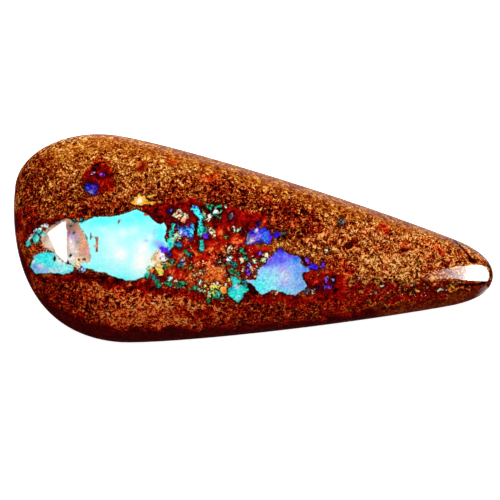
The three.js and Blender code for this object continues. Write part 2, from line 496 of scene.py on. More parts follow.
RED_FIELD_CHIPS = (
    Marking(Blob((170.5, 210.9), (2.8, 1.9), -25), Hue.NAVY, (Tint(Hue.AZURE, (171.5, 210), (1, 0.8)),)),
    Marking(Blob((180, 215), (6.4, 4.0)), Hue.CREAM, mottle=0.8),
    Marking(Vein(((176.8, 215.2), (178.6, 212.8), (182, 213.2), (183.6, 215.4), (181.4, 217.4),
                  (178.8, 216.8)), 1.5), Hue.BLOOD),
    Marking(Blob((183, 220.4), (2.8, 2.4)), Hue.PEACH, mottle=0.8),
    Marking(
        Patch(((176.3, 222.4), (178.1, 223.1), (179.1, 228), (181.6, 225.9), (185.1, 226.6), (189.3, 228),
               (190.7, 225.9), (192.1, 223.1), (194.9, 224.5), (194.2, 231.5), (192.1, 237.1), (186.5, 237.1),
               (180.9, 234.3), (178.1, 230.8))),
        Hue.AZURE,
        (
            Tint(Hue.CYAN, (192.4, 231), (2.0, 6)),
            Tint(Hue.WHITE, (180.4, 231.8), (1.8, 2.2), 0.7),
            Tint(Hue.LAVENDER, (182, 233), (2, 1.6), 0.7),
            Tint(Hue.PURPLE, (185.3, 235.4), (2.2, 1.6)),
            Tint(Hue.BLUE, (190.3, 226.5), (1.8, 2.2)),
            Tint(Hue.BLUE, (182.5, 227.5), (3, 1.6), 0.7),
        ),
        mottle=0.9,
    ),
    Marking(Vein(((173.4, 225.2), (171.8, 231), (170.6, 235.4)), 3.2), Hue.TURQUOISE,
            (Tint(Hue.TEAL, (170.5, 233), (1.4, 3), 0.7),), 0.9),
    Marking(
        Patch(((169, 237.1), (174.6, 236), (176, 239.9), (173.2, 245.5), (171, 249.2), (167.6, 248.3),
               (166.8, 244.1))),
        Hue.TURQUOISE,
        (Tint(Hue.PALE_GREEN, (173.6, 238.8), (2.6, 3.4), 0.9), Tint(Hue.CYAN, (169, 246), (2, 3), 0.7)),
        0.7,
    ),
    Marking(Blob((177.6, 235), (1.8, 3.0)), Hue.CREAM,
            (Tint(Hue.PALE_GREEN, (177, 233.6), (1.5, 1.5)),), 1.0),
    Marking(Blob((178.9, 245), (2.9, 3.0)), Hue.TEAL, (Tint(Hue.BLUE, (179.9, 244.2), (1.6, 1.6)),), 0.8),
    Marking(Vein(((194.4, 208.6), (197.4, 212.6), (200.4, 217)), 5.4), Hue.CYAN,
            (Tint(Hue.BLUE, (194.4, 207), (2.6, 2.2)), Tint(Hue.BLUE, (200.6, 212.8), (1.2, 2.6), 0.9),
             Tint(Hue.TEAL, (199, 217), (1.4, 1.4), 0.6)), 0.8),
    Marking(Vein(((200.4, 217), (201, 220), (200.4, 226)), 3.4), Hue.CYAN,
            (Tint(Hue.TEAL, (201.8, 222), (1, 4), 0.8),), 0.8),
    Marking(Vein(((200.2, 226), (199.6, 230), (200.5, 233.6)), 4.6), Hue.TURQUOISE,
            (Tint(Hue.GREEN, (198.5, 233.5), (2, 2), 0.7),), 0.9),
    Marking(Blob((205.2, 230), (2.0, 3.2)), Hue.TEAL, (Tint(Hue.GREEN, (205, 228.4), (1.5, 1.2)),), 0.8),
    Marking(Blob((206.1, 236.2), (2.9, 2.9)), Hue.VIOLET, (Tint(Hue.NAVY, (207, 234.4), (2, 1.5)),)),
    Marking(Vein(((201.6, 241.4), (201.4, 246), (201.2, 249.8)), 3.6), Hue.TURQUOISE,
            (Tint(Hue.TEAL, (202.8, 246), (1, 5), 0.7),), 0.8),
    Marking(Vein(((193, 236.6), (190, 241)), 1.3), Hue.NAVY),
    Marking(Blob((208.6, 207.6), (3.2, 2.0), 25), Hue.GREEN, mottle=1.0),
    Marking(Vein(((212, 206.4), (215, 207.2), (220.4, 205.8), (221.4, 209.6)), 1.3), Hue.GREEN, mottle=1.0),
    Marking(Vein(((212.4, 213.6), (216, 215.6), (220.4, 218.4)), 1.4), Hue.GREEN, mottle=1.0),
    Marking(Vein(((217.4, 213.2), (220.6, 212.4)), 1.2), Hue.PALE_GREEN),
    Marking(Blob((204, 215), (1.3, 3.0), -25), Hue.PALE_GREEN, mottle=0.9),
    Marking(Blob((209.4, 216), (1.7, 1.7)), Hue.WHITE),
    Marking(Blob((215.6, 211.4), (2.4, 1.5), -25), Hue.WHITE),
    Marking(Blob((231, 215.4), (1.5, 2.8), 15), Hue.GREY, (Tint(Hue.NAVY, (231, 216), (1.2, 2), 0.6),)),
    *dots(Hue.CREAM, (225.8, 206.6, 1.3), (207, 219.6, 1.3), (211, 229, 1.6), (213, 233.4, 1.5),
          (234.8, 229.6, 1.7)),
)

RED_FIELD_FLECKS = (
    *dots(Hue.CREAM, (230, 248.3, 1.9), (241.2, 259.6, 2.0), (254, 260.8, 1.6), (265.2, 255, 2.0),
          (264, 259, 1.6), (219.8, 262.2, 1.2), (213.2, 284, 1.4), (228.6, 254, 1.4)),
    *dots(Hue.WHITE, (228.8, 258, 1.6), (170.4, 277.8, 1.8), (199.8, 281.8, 1.5)),
    *dots(Hue.PEACH, (251.8, 269.6, 1.9), (255.2, 276.6, 1.5), (194.5, 274.4, 1.8), (202, 272.2, 1.5)),
    *dots(Hue.GREEN, (171.8, 261.8, 2.4), (241.6, 250.6, 2.0), (165, 266, 2.1), (232, 271.4, 2.0),
          (237.8, 274.4, 2.0)),
    Marking(Vein(((242.4, 252.6), (245.4, 257.4), (248.6, 262.6), (249.4, 266)), 1.6), Hue.GREEN, mottle=1.0),
    *dots(Hue.TEAL, (182.3, 265.2, 2.3), (179.4, 264.6, 1.2), (189.6, 255.4, 1.6), (234.2, 265, 2.3),
          (230.6, 262.6, 1.9)),
    *dots(Hue.LAVENDER, (249.5, 265.4, 2.0), (182.6, 260.2, 0.9)),
    *dots(Hue.LIME, (191.6, 267.2, 1.8), (225.6, 237.2, 1.2)),
    *dots(Hue.NAVY, (168.6, 255.2, 1.9), (258.6, 224.4, 1.8)),
    *dots(Hue.PURPLE, (248.4, 272.2, 2.3), (259.8, 253, 1.6)),
    Marking(Vein(((184.4, 250.6), (187.4, 254.6)), 2.2), Hue.GREEN, mottle=0.8),
    Marking(Vein(((184.8, 256.4), (184, 261), (185.2, 264.4)), 1.3), Hue.PEACH, mottle=0.8),
    Marking(Vein(((212, 228.4), (213.6, 231)), 1.4), Hue.CREAM),
    Marking(Vein(((237, 231.4), (240.6, 229)), 1.7), Hue.PALE_GREEN),
)

LOWER_FRINGE = (
    Marking(Vein(((152.6, 275.8), (156.3, 280.6), (159.2, 286.6)), 3.4), Hue.TEAL,
            (Tint(Hue.GREEN, (158, 284), (3, 4)),), 0.9),
    Marking(Blob((168.8, 283.8), (3.4, 2.4)), Hue.GREEN, mottle=0.9),
    Marking(Blob((181, 284.8), (5.4, 2.8), -12), Hue.GREEN,
            (Tint(Hue.DARK_GREEN, (178, 285), (3, 1.5)),), 1.0),
    Marking(Blob((195, 288.2), (2.8, 2.3)), Hue.GREEN, mottle=1.0),
    Marking(Blob((218, 293.6), (3.0, 2.8)), Hue.TURQUOISE, mottle=0.9),
    Marking(Blob((214.6, 292.6), (2.4, 2.2)), Hue.LIME, mottle=0.9),
    Marking(Blob((209.6, 293.2), (2.6, 1.8)), Hue.PALE_GREEN, mottle=0.9),
    Marking(Blob((216, 297), (3.2, 1.7)), Hue.GREEN, mottle=0.9),
    Marking(Blob((213.6, 287), (3.4, 2.6)), Hue.YELLOW, (Tint(Hue.LIME, (211, 289), (2, 2)),), 1.0),
    Marking(Blob((208.6, 300.6), (1.3, 1.8)), Hue.GREEN),
    *dots(Hue.YELLOW, (205.4, 286.6, 1.4), (219, 287, 1.6), (209, 296.4, 1.2), (228, 280.4, 1.3)),
    *dots(Hue.PALE_GREEN, (204, 291, 1.3), (221.4, 297.6, 1.3), (199.6, 290.4, 1.1)),
    *dots(Hue.CREAM, (217.4, 283.4, 1.2), (226, 284.6, 1.2), (175.6, 281.6, 1.2)),
    Marking(
        Patch(((230.7, 276.4), (236.3, 277.1), (239.1, 281.3), (237.3, 284.8), (243.3, 286.9), (247.5, 289.7),
               (244, 292.5), (241.9, 298.9), (237.7, 302.4), (232.8, 297.5), (227.2, 293.9), (228.6, 288.3),
               (232.5, 285.5), (231.6, 280.6))),
        Hue.TURQUOISE,
        (
            Tint(Hue.CYAN, (237, 294), (6, 5), 0.8),
            Tint(Hue.PINK, (236.8, 286.8), (2.2, 1.8), 0.9),
            Tint(Hue.BLUE, (231.8, 287.6), (1.8, 2.2), 0.7),
            Tint(Hue.TEAL, (228.5, 291), (2, 2.6), 0.5),
            Tint(Hue.AQUA, (238, 297), (2.5, 2), 0.7),
        ),
        0.6,
    ),
    Marking(Vein(((242.4, 280.6), (244.6, 283.4), (246.4, 287)), 2.0), Hue.TEAL, mottle=0.9),
)

BLUE_POCKET = (
    Marking(
        Patch(((247.7, 233.3), (250.5, 229.1), (256.8, 227.6), (261.1, 229.4), (265.3, 227.8), (269.5, 232.3),
               (271.4, 238.2), (270.2, 243.2), (267.4, 244.6), (263.2, 242.5), (256.8, 243.2), (251.9, 244.6),
               (246.3, 243.9), (247.2, 238.9))),
        Hue.INDIGO,
        (
            Tint(Hue.AZURE, (265.2, 237), (3.0, 5.6)),
            Tint(Hue.BLUE, (264.4, 230.4), (3.6, 2.4), 1.0),
            Tint(Hue.LAVENDER, (258.6, 236.4), (2.0, 3), 0.8),
            Tint(Hue.NAVY, (251, 232), (3.6, 3), 1.0),
            Tint(Hue.PINK, (252.6, 239.4), (3.0, 2.8), 1.0),
            Tint(Hue.CREAM, (252, 241), (2.0, 1.4), 0.8),
            Tint(Hue.PALE_GREEN, (248, 242.6), (2.4, 1.6)),
            Tint(Hue.WHITE, (256.4, 230.7), (1.3, 2), 0.95),
            Tint(Hue.NAVY, (258.4, 242), (3, 1.5), 1.0),
            Tint(Hue.VIOLET, (270.2, 238.6), (1.6, 4.4), 0.9),
            Tint(Hue.LIME, (247, 237), (1.5, 2.6), 0.8),
            Tint(Hue.BLACK, (261.4, 240.4), (1.2, 2), 0.7),
            Tint(Hue.BLACK, (249.4, 235.4), (1.4, 1.2), 0.8),
        ),
        mottle=0.7,
    ),
    Marking(Blob((276.6, 234.8), (3.0, 2.9)), Hue.INDIGO, (Tint(Hue.NAVY, (275.5, 234), (2, 2), 0.7),)),
    Marking(Blob((282.7, 233.2), (1.8, 1.1)), Hue.TEAL),
)

BLUE_OPAL = (
    Marking(
        Patch(((280.4, 247.7), (282.8, 249.5), (284.9, 252.3), (289.1, 254.4), (296.8, 256.5), (300.4, 257.9),
               (301.1, 262.1), (303.2, 264.9), (310.2, 270.5), (307.4, 271.9), (302.5, 271.9), (301.8, 276.1),
               (304.6, 281.1), (306.7, 286), (304.6, 288.8), (300.4, 290.9), (294.7, 295.1), (290.5, 294.4),
               (279.3, 291.6), (275.1, 290.2), (270.9, 290.2), (268.1, 292.3), (263.2, 294.4), (259.6, 293),
               (256.8, 290.2), (255.4, 286), (252.6, 285.3), (247, 280.4), (255.4, 278.9), (257.5, 274.7),
               (258.2, 269.8), (262.5, 265.6), (266.7, 262.1), (270.2, 257.9), (274.4, 253.7),
               (277.9, 250.2))),
        Hue.POWDER,
        (
            Tint(Hue.CYAN, (261, 286), (10, 10), 1.0),
            Tint(Hue.AQUA, (271, 281), (8, 9), 0.8),
            Tint(Hue.CYAN, (283, 291), (9, 4), 0.6),
            Tint(Hue.LAVENDER, (284, 268), (6, 5), 0.7),
            Tint(Hue.WHITE, (284, 276), (6, 5), 0.45),
            Tint(Hue.LAVENDER, (285, 284), (8, 5), 0.4),
            Tint(Hue.PERIWINKLE, (280, 260), (11, 6), 1.0),
            Tint(Hue.PERIWINKLE, (269, 263), (6, 4), 0.9),
            Tint(Hue.AZURE, (298, 270), (6, 9), 0.6),
            Tint(Hue.AZURE, (301, 286), (4, 4), 0.6),
            Tint(Hue.BLUE, (296, 258), (6, 4), 0.9),
            Tint(Hue.AZURE, (295, 261), (4, 3), 0.7),
            Tint(Hue.AZURE, (306, 268), (5, 4), 0.9),
            Tint(Hue.INDIGO, (280.4, 249), (8, 7), 1.0),
            Tint(Hue.INDIGO, (280.4, 250), (5, 5), 1.0),
            Tint(Hue.VIOLET, (289.4, 255.4), (4, 3), 0.9),
            Tint(Hue.VIOLET, (273.4, 256), (3.4, 3), 0.9),
            Tint(Hue.PURPLE, (269.6, 260), (2.4, 2.2), 0.9),
            Tint(Hue.INDIGO, (264.6, 264.6), (3, 2.6), 0.8),
        ),
        mottle=0.5,
    ),
    Marking(Blob((307, 260.4), (1.7, 3.2), -20), Hue.PURPLE),
    Marking(Blob((313.4, 266.8), (4.2, 2.6), 10), Hue.INDIGO, (Tint(Hue.BLUE, (311, 268.5), (3, 1.5)),)),
    Marking(Blob((322.8, 265), (1.3, 2.8)), Hue.VIOLET),
    Marking(Vein(((327.4, 276.6), (333, 280.4)), 1.2), Hue.LAVENDER,
            (Tint(Hue.WHITE, (328, 277), (1.5, 1.5)),)),
    *dots(Hue.PURPLE, (324.9, 286.7, 1.2), (329.8, 287, 1.6), (326.6, 280.8, 1.2), (316.6, 287.6, 0.9)),
    Marking(Blob((307.4, 290.2), (3.2, 2.8)), Hue.GREY, mottle=0.9),
    Marking(Blob((264, 260.2), (2.0, 2.2)), Hue.PALE_GREEN, mottle=0.8),
    *dots(Hue.CREAM, (326, 251.2, 1.6), (313.7, 291.6, 1.1), (276.6, 292.4, 1.3)),
    *dots(Hue.ORANGE, (312.3, 276.6, 0.9), (318.4, 274.6, 1.0), (279.3, 239.4, 1.0)),
)

LONE_SPOT = (
    Marking(Patch(((85, 189), (85.6, 184), (88, 182), (91, 184.6), (96.6, 183.6), (98.5, 188), (96, 193.6),
                   (91, 195), (86.6, 191.6))),
            Hue.NAVY, (Tint(Hue.BLUE, (87.6, 188), (2, 3), 0.7),
                       Tint(Hue.LAVENDER, (91, 191.6), (2.4, 1.6), 0.5),
                       Tint(Hue.VIOLET, (93.6, 188), (2, 3), 0.5)), 0.8),
    *dots(Hue.PURPLE, (101.6, 173.9, 1.6)),
    *dots(Hue.PINK, (93, 173.4, 1.0)),
)

TIP_FLECKS_AND_GLINTS = (
    Marking(Vein(((446.4, 284.6), (448.6, 288), (450.6, 291.6), (455, 290.6), (459.6, 287.4),
                  (463.6, 287.8)), 1.8),
            Hue.ORANGE, (Tint(Hue.AMBER, (452, 291), (3, 2)),), 0.9),
    Marking(Vein(((450, 285), (453.4, 287)), 1.2), Hue.AMBER),
    # Painted glints: these cream dashes on the bevel stand for small glints of the polish, not for a mineral
    Marking(Vein(((437.8, 291), (440, 289), (442.4, 289.4)), 0.9), Hue.CREAM, mottle=0.2),
    Marking(Vein(((442.6, 290.4), (444.8, 288.8), (446, 290.2)), 0.8), Hue.CREAM, mottle=0.2),
    Marking(Vein(((380.6, 286.4), (383.6, 286)), 1.8), Hue.CREAM, mottle=0.2),
    Marking(Blob((341.6, 222.4), (2.6, 3.2)), Hue.GREY, (Tint(Hue.DARK_GREEN, (341, 223.5), (2, 2)),), 1.0),
    *dots(Hue.PEACH, (358, 278.6, 1.2), (406, 289.2, 0.9), (375.4, 292, 1.0), (412.4, 285.4, 1.1)),
    *dots(Hue.AMBER, (376.4, 283, 1.5), (417.4, 290.4, 1.5), (405, 289.6, 1.0), (395, 292.4, 0.9),
          (387, 297, 0.9)),
    *dots(Hue.ORANGE, (361.8, 291, 1.6), (368.6, 301, 1.6), (400.6, 286.6, 1.0), (411, 293.4, 1.0),
          (428, 287.6, 1.0)),
)

# All the markings: opal and other minerals, with the painted glints at the tip and the painted reflection
# round the butt's highlight among them
OPAL: tuple[Marking, ...] = (
    *BUTT_SEAM_AND_REFLECTION, MAIN_BAR, *BAR_FLAKES, *GOLD, *RED_FIELD_CHIPS, *RED_FIELD_FLECKS, *LOWER_FRINGE,
    *BLUE_POCKET, *BLUE_OPAL, *LONE_SPOT, *TIP_FLECKS_AND_GLINTS,
)

# A shallow crack in the polish near the tip
FISSURE = Vein(((454.5, 240.6), (458, 244.6), (462.3, 248.6), (467, 253.6), (473, 260.4)), 2.0)

# Dark gaps where the ironstone stands black against the opal, and the fissure's floor darkened to near black
# as painted shade
GAP_FADE = 1.5
DARK_GAPS_AND_FISSURE_SHADE: tuple[Zone, ...] = (
    *(Zone(shape, GAP_FADE, tone=0.02, grain=0.3) for shape in (
        Blob((278.2, 281.4), (2.2, 1.1), 25),
        Patch(((248, 283), (254, 286), (257, 291), (260, 294), (252, 295), (247, 289))),
        Vein(((168.6, 226), (168.2, 232), (167.2, 239), (166.6, 243)), 1.8),
        Blob((215, 212), (7.5, 6.5)),
        Vein(((204.6, 217), (203.6, 224), (204, 228)), 1.6),
        Vein(((197, 219), (196.6, 226), (195.8, 236)), 2.0),
        Blob((241.5, 231.6), (3.4, 4)),
        Vein(((80, 214.5), (100, 213.4), (118, 213), (130, 209)), 1.5),
        Vein(((302, 256.6), (304.4, 260), (306, 264.6)), 2.2),
        Vein(((303.4, 279), (306, 284), (309, 286.4)), 1.4),
        Vein(((225, 262), (226.6, 270), (229, 276)), 2.0),
        Vein(((305, 280.6), (311, 286), (320, 287.6), (324, 291)), 1.3),
        Vein(((333, 282.6), (338, 284.4), (342, 284)), 1.6),
        Blob((336, 289), (1.8, 1.6)),
        Vein(((246, 247), (244.6, 256), (246.4, 262)), 1.6),
        Blob((472, 260.4), (4.6, 2.2), 25),
        Vein(((460, 284.6), (470, 285.2), (480, 284.2), (488, 280)), 2.6),
        Vein(((487, 262), (490, 268), (491, 276)), 1.6),
    )),
    # Painted shade: the fissure's floor darkened to near black
    Zone(FISSURE, 1.2, tone=0.02, grain=0.2),
)

# The ironstone's zones, each laid over the ones before it; a few are painted shade, painted sheen and painted
# light
ZONES: tuple[Zone, ...] = (
    Zone(Patch(((45, 150), (90, 134), (160, 138), (260, 160), (350, 197), (420, 226), (400, 240), (330, 222),
                (240, 190), (150, 176), (110, 186), (66, 196))), 24, tone=0.5, red=-0.1),
    # Painted sheen: a lighter, calmer, more golden strip along the upper flank, for the light that falls on
    # that side
    Zone(Patch(((40, 165), (62, 146), (95, 134), (150, 136), (250, 162), (350, 197), (440, 231), (466, 247),
                (436, 243), (345, 213), (245, 181), (150, 156), (98, 152), (66, 162))), 10,
         tone=0.54, grain=0.6, red=-0.2),
    Zone(Patch(((8, 260), (8, 190), (30, 152), (48, 150), (56, 172), (52, 204), (44, 220), (26, 240))), 24,
         tone=0.3, red=0.22),
    Zone(Blob((62, 202), (42, 18)), 14, tone=0.33, grain=1.1, red=0.3),
    Zone(Patch(((70, 207), (130, 194), (170, 182), (230, 180), (300, 204), (336, 226), (306, 248), (250, 224),
                (190, 205), (130, 208), (80, 216))), 12, tone=0.26, grain=1.2, red=0.55),
    Zone(Blob((129, 196), (14, 8)), 8, tone=0.58, grain=1.1, red=0.3),
    Zone(Blob((98, 195), (22, 10)), 8, tone=0.34, grain=1.1, red=0.3),
    Zone(Vein(((62, 150), (90, 138), (125, 137), (150, 141)), 12), 8, tone=0.62, red=-0.1),
    Zone(Blob((152, 164), (14, 10)), 8, tone=0.6),
    Zone(Blob((198, 190), (12, 9)), 8, tone=0.3, grain=1.0, red=0.3),
    Zone(Patch(((320, 215), (440, 240), (470, 262), (440, 285), (360, 283), (330, 262), (306, 250))), 16,
         tone=0.53, grain=1.35, red=0.4),
    Zone(Blob((27, 217), (12, 14)), 8, tone=0.25, red=0.7),
    Zone(Blob((392, 264), (22, 12), 8), 16, tone=0.65, grain=1.4, red=0.26),
    Zone(Blob((338, 268), (24, 10), 8), 10, tone=0.44, grain=1.1, red=0.75),
    Zone(Blob((448, 256), (16, 9), 20), 10, tone=0.48, red=0.4),
    Zone(Patch(((25, 276), (120, 280), (190, 290), (260, 298), (340, 296), (330, 318), (200, 332), (120, 330),
                (50, 310))), 8, tone=0.32, grain=1.2, red=0.85, flecks=-0.1),
    Zone(Blob((166, 310), (60, 13), 4), 10, tone=0.64, grain=1.7, red=0.85, flecks=-0.03),
    Zone(Blob((160, 318), (54, 9)), 6, tone=0.68, grain=1.4, red=1.1, flecks=-0.06),
    Zone(Blob((126, 293), (16, 9)), 8, tone=0.58, grain=1.5, red=1.0),
    Zone(Blob((246, 293), (10, 8)), 5, tone=0.14, grain=0.7, red=0.9),
    Zone(Blob((202, 316), (12, 8)), 6, tone=0.34, grain=1.1, red=1.2),
    Zone(Blob((52, 291), (16, 12), 40), 8, tone=0.22, grain=1.0, red=0.8),
    Zone(Blob((98, 288), (20, 8), 25), 8, tone=0.46, grain=1.2, red=0.55),
    Zone(Patch(((141, 203), (200, 202), (262, 214), (262, 228), (245, 240), (243, 250), (230, 262),
                (236, 285), (215, 295), (160, 284), (150, 278), (164, 250), (166, 222), (155, 216))), 4,
         tone=0.6, grain=0.32, red=1.25, flecks=0.0, clump=2.1),
    Zone(Vein(((150, 277), (166, 284), (190, 287), (210, 290), (228, 284)), 8), 4,
         tone=0.56, grain=0.6, flecks=0.14),
    Zone(Vein(((232, 250), (243, 258), (250, 268), (258, 262)), 12), 5, tone=0.4, grain=0.5, flecks=0.09),
    Zone(Patch(((141, 205), (205, 203), (262, 216), (255, 226), (205, 224), (168, 228), (156, 224),
                (146, 216))), 4,
         tone=0.36, grain=0.5, red=1.3, flecks=-0.1, clump=1.0),
    Zone(Patch(((172, 250), (240, 252), (232, 264), (236, 282), (214, 292), (166, 284), (158, 278))), 5,
         tone=0.66, grain=0.35, red=1.2, flecks=0.03, clump=2.1),
    Zone(Patch(((192, 262), (222, 258), (228, 270), (226, 288), (204, 290), (190, 284), (184, 272))), 8,
         tone=0.68, grain=0.5, red=1.0, flecks=0.1, clump=2.0),
    Zone(Blob((177.5, 256), (7, 6)), 4, tone=0.76, grain=0.3, red=1.2, flecks=-0.1, clump=1.2),
    Zone(Blob((178, 272.5), (10, 8)), 6, tone=0.78, grain=0.35, red=1.1, flecks=-0.05, clump=1.6),
    Zone(Blob((204, 256), (10, 7)), 5, tone=0.74, grain=0.35, red=1.2, flecks=-0.05, clump=1.6),
    Zone(Blob((208, 274), (16, 9)), 6, tone=0.86, grain=0.6, red=1.06, flecks=0.05, clump=1.8),
    Zone(Blob((221, 231), (10, 8)), 5, tone=0.6, grain=0.45, red=1.2, flecks=-0.05),
    Zone(Blob((226, 252), (7, 8)), 5, tone=0.36, grain=0.9, red=0.6, flecks=0.06),
    Zone(Patch(((238, 244), (272, 246), (268, 256), (258, 266), (256, 280), (244, 280), (236, 262))), 4,
         tone=0.4, grain=0.7, red=1.2, flecks=0.05),
    Zone(Vein(((244, 248), (256, 247.4), (266, 248), (272, 250)), 6.0), 3, tone=0.68, grain=0.35, red=1.3,
         flecks=-0.1),
    Zone(Patch(((302, 272), (316, 271), (338, 272), (352, 284), (345, 297), (318, 298), (306, 292),
                (302, 280))), 5,
         tone=0.52, grain=0.4, red=1.7, flecks=-0.12, clump=1.9),
    Zone(Patch(((250, 294), (275, 291), (300, 295), (345, 297), (338, 304), (258, 303))), 4,
         tone=0.44, grain=0.7, red=1.4, flecks=-0.08),
    Zone(Blob((316, 277), (11, 6), 15), 4, tone=0.68, grain=0.4, red=1.6, flecks=-0.1, clump=1.2),
    Zone(Patch(((345, 283), (385, 284), (440, 284), (486, 284), (476, 297), (420, 302), (350, 304))), 4,
         tone=0.38, grain=0.9, red=1.5, flecks=0.02),
    Zone(Blob((99, 177), (15, 17), 20), 8, tone=0.3, grain=0.7, red=1.0, flecks=-0.1, clump=1.0),
    Zone(Blob((141.4, 166.5), (5, 6)), 4, tone=0.48, grain=0.5, red=0.8),
    Zone(Blob((171.8, 160.4), (6, 4)), 4, tone=0.58, grain=0.4, red=0.8),
    Zone(Blob((209.7, 177), (9, 6)), 5, tone=0.5, grain=0.6, red=0.8),
    Zone(Blob((382, 228.6), (4, 5)), 3, tone=0.6, grain=0.7, red=1.0),
    Zone(Blob((438, 251), (7, 4), 15), 3, tone=0.58, grain=0.9, red=1.0),
    Zone(Blob((406, 243), (4, 3)), 3, tone=0.58, grain=0.9, red=1.0),
    Zone(Blob((350.6, 241.4), (3.4, 3.6)), 3, tone=0.08, grain=0.5, red=0.7),
    Zone(Patch(((22, 228), (52, 217), (84, 215), (84, 220), (64, 219), (46, 227), (30, 236), (26, 250))), 3,
         tone=0.3, grain=0.6, red=1.0, flecks=-0.1, clump=1.2),
    Zone(Patch(((30, 274), (60, 275), (92, 273), (110, 277), (128, 282), (150, 280), (150, 290), (110, 286),
                (70, 280), (36, 280))), 4, tone=0.26, grain=0.6, red=1.0, flecks=-0.1, clump=1.4),
    Zone(Blob((150, 288), (14, 6)), 4, tone=0.26, grain=0.7, red=1.0, flecks=-0.1),
    Zone(Blob((378, 290), (13, 7)), 5, tone=0.5, grain=0.9, red=1.5),
    Zone(Patch(((150, 284), (190, 292), (225, 298), (246, 300), (246, 304), (190, 299), (150, 293))), 4,
         tone=0.38, grain=0.8, red=1.15, flecks=-0.03),
    Zone(Patch(((318, 299), (362, 297), (366, 309), (322, 316))), 5, tone=0.4, grain=1.0, red=1.1),
    Zone(Blob((153, 213), (10, 6), 35), 5, tone=0.22, grain=0.5, red=1.1, flecks=-0.1),
    # The lower flank and left rim darkened with painted shade, the steeper flank of the tip, and a strip down
    # the butt lightened with painted light
    # Painted shade over dark ironstone: the lower flank and the left rim face away from the key light
    Zone(Patch(((6, 200), (16, 212), (20, 240), (26, 262), (37, 289), (53, 303), (72, 316), (97, 324),
                (130, 330), (200, 329), (260, 324), (310, 319), (360, 312), (430, 302), (470, 296),
                (495, 300), (480, 330), (300, 360), (60, 360), (0, 300))), 7.0,
         tone=0.16, grain=0.22, red=1.5, flecks=-0.2, clump=0.3),
    Zone(Patch(((370, 310), (410, 302.6), (440, 296), (474, 289), (492, 279), (497, 290), (470, 310),
                (400, 330))), 6.0,
         tone=0.36, grain=0.4, red=-0.4, flecks=-0.2, clump=0.3),
    # Painted light: a lighter strip down the butt's rim, for a lit band with a highlight line there
    Zone(Vein(((19, 220), (22, 240), (25.4, 256), (29.5, 272), (34.5, 286), (42, 297)), 4.5), 3.0,
         tone=0.42, grain=0.6, red=0.2, flecks=-0.1, clump=0.6),
)


@dataclass
class PhotoCamera:
    """The camera that sees the stone as the photograph does. Angles are in degrees."""

    azimuth: float = -35.0
    elevation: float = 84.5
    roll: float = 5.5
    lens: float = 150.0
    sensor: float = 36.0
    distance: float = 179.4 * MM
    nearest: float = 1.0 * MM
    aim: Vector = field(default_factory=lambda: Vector((-0.35, 0.02, 2.6)) * MM)
    mirror_height: float = 1.0 / 3.0

    @cached_property
    def axes(self) -> Matrix:
        """Works out how the camera is turned.

        Returns:
            The camera's right, up and back, as columns.
        """
        back = direction(self.azimuth, self.elevation)
        along = Vector((1.0, 0.0, 0.0))
        level = (along - back * along.dot(back)).normalized()
        tilt = math.radians(self.roll)
        right = level * math.cos(tilt) + back.cross(level) * math.sin(tilt)
        return Matrix((right, back.cross(right), back)).transposed()

    @cached_property
    def place(self) -> Vector:
        """Where the camera stands."""
        return self.aim + self.axes.col[2] * self.distance

    def pixels(self, points: np.ndarray) -> np.ndarray:
        """Finds where points of the stone fall in the photograph.

        Args:
            points: Places in the frame, in metres.

        Returns:
            The photograph's pixel of each place.
        """
        seen = (points - np.array(self.place)) @ np.array(self.axes)
        scale = self.lens / self.sensor * PHOTO_PIXELS / -seen[:, 2]
        middle = PHOTO_PIXELS / 2.0
        return np.stack((middle + seen[:, 0] * scale, middle - seen[:, 1] * scale), axis=1)

    def mirror(self, mesh: bpy.types.Mesh, pixel: Pixel, distance: float) -> Vector:
        """Finds what the upper part of a polished mesh mirrors at one pixel.

        Args:
            mesh: The polished mesh.
            pixel: The pixel of the photograph.
            distance: How far off the mirrored place is.

        Returns:
            The mirrored place.
        """
        points = vertex_places(mesh)
        away = np.hypot(*(self.pixels(points) - np.array(pixel)).T)
        upper = points[:, 2] > points[:, 2].max() * self.mirror_height
        near = mesh.vertices[int(np.argmin(np.where(upper, away, np.inf)))]
        sight = (near.co - self.place).normalized()
        return near.co + sight.reflect(near.normal) * distance

    def build(self) -> bpy.types.Object:
        """Makes the camera and sets it as the scene's.

        Returns:
            The camera's object.
        """
        data = bpy.data.cameras.new("photo_camera")
        data.lens = self.lens
        data.sensor_width = self.sensor
        data.clip_start = self.nearest
        camera = bpy.data.objects.new("photo_camera", data)
        camera.matrix_world = Matrix.LocRotScale(self.place, self.axes.to_quaternion(), None)
        bpy.context.collection.objects.link(camera)
        bpy.context.scene.camera = camera
        return camera


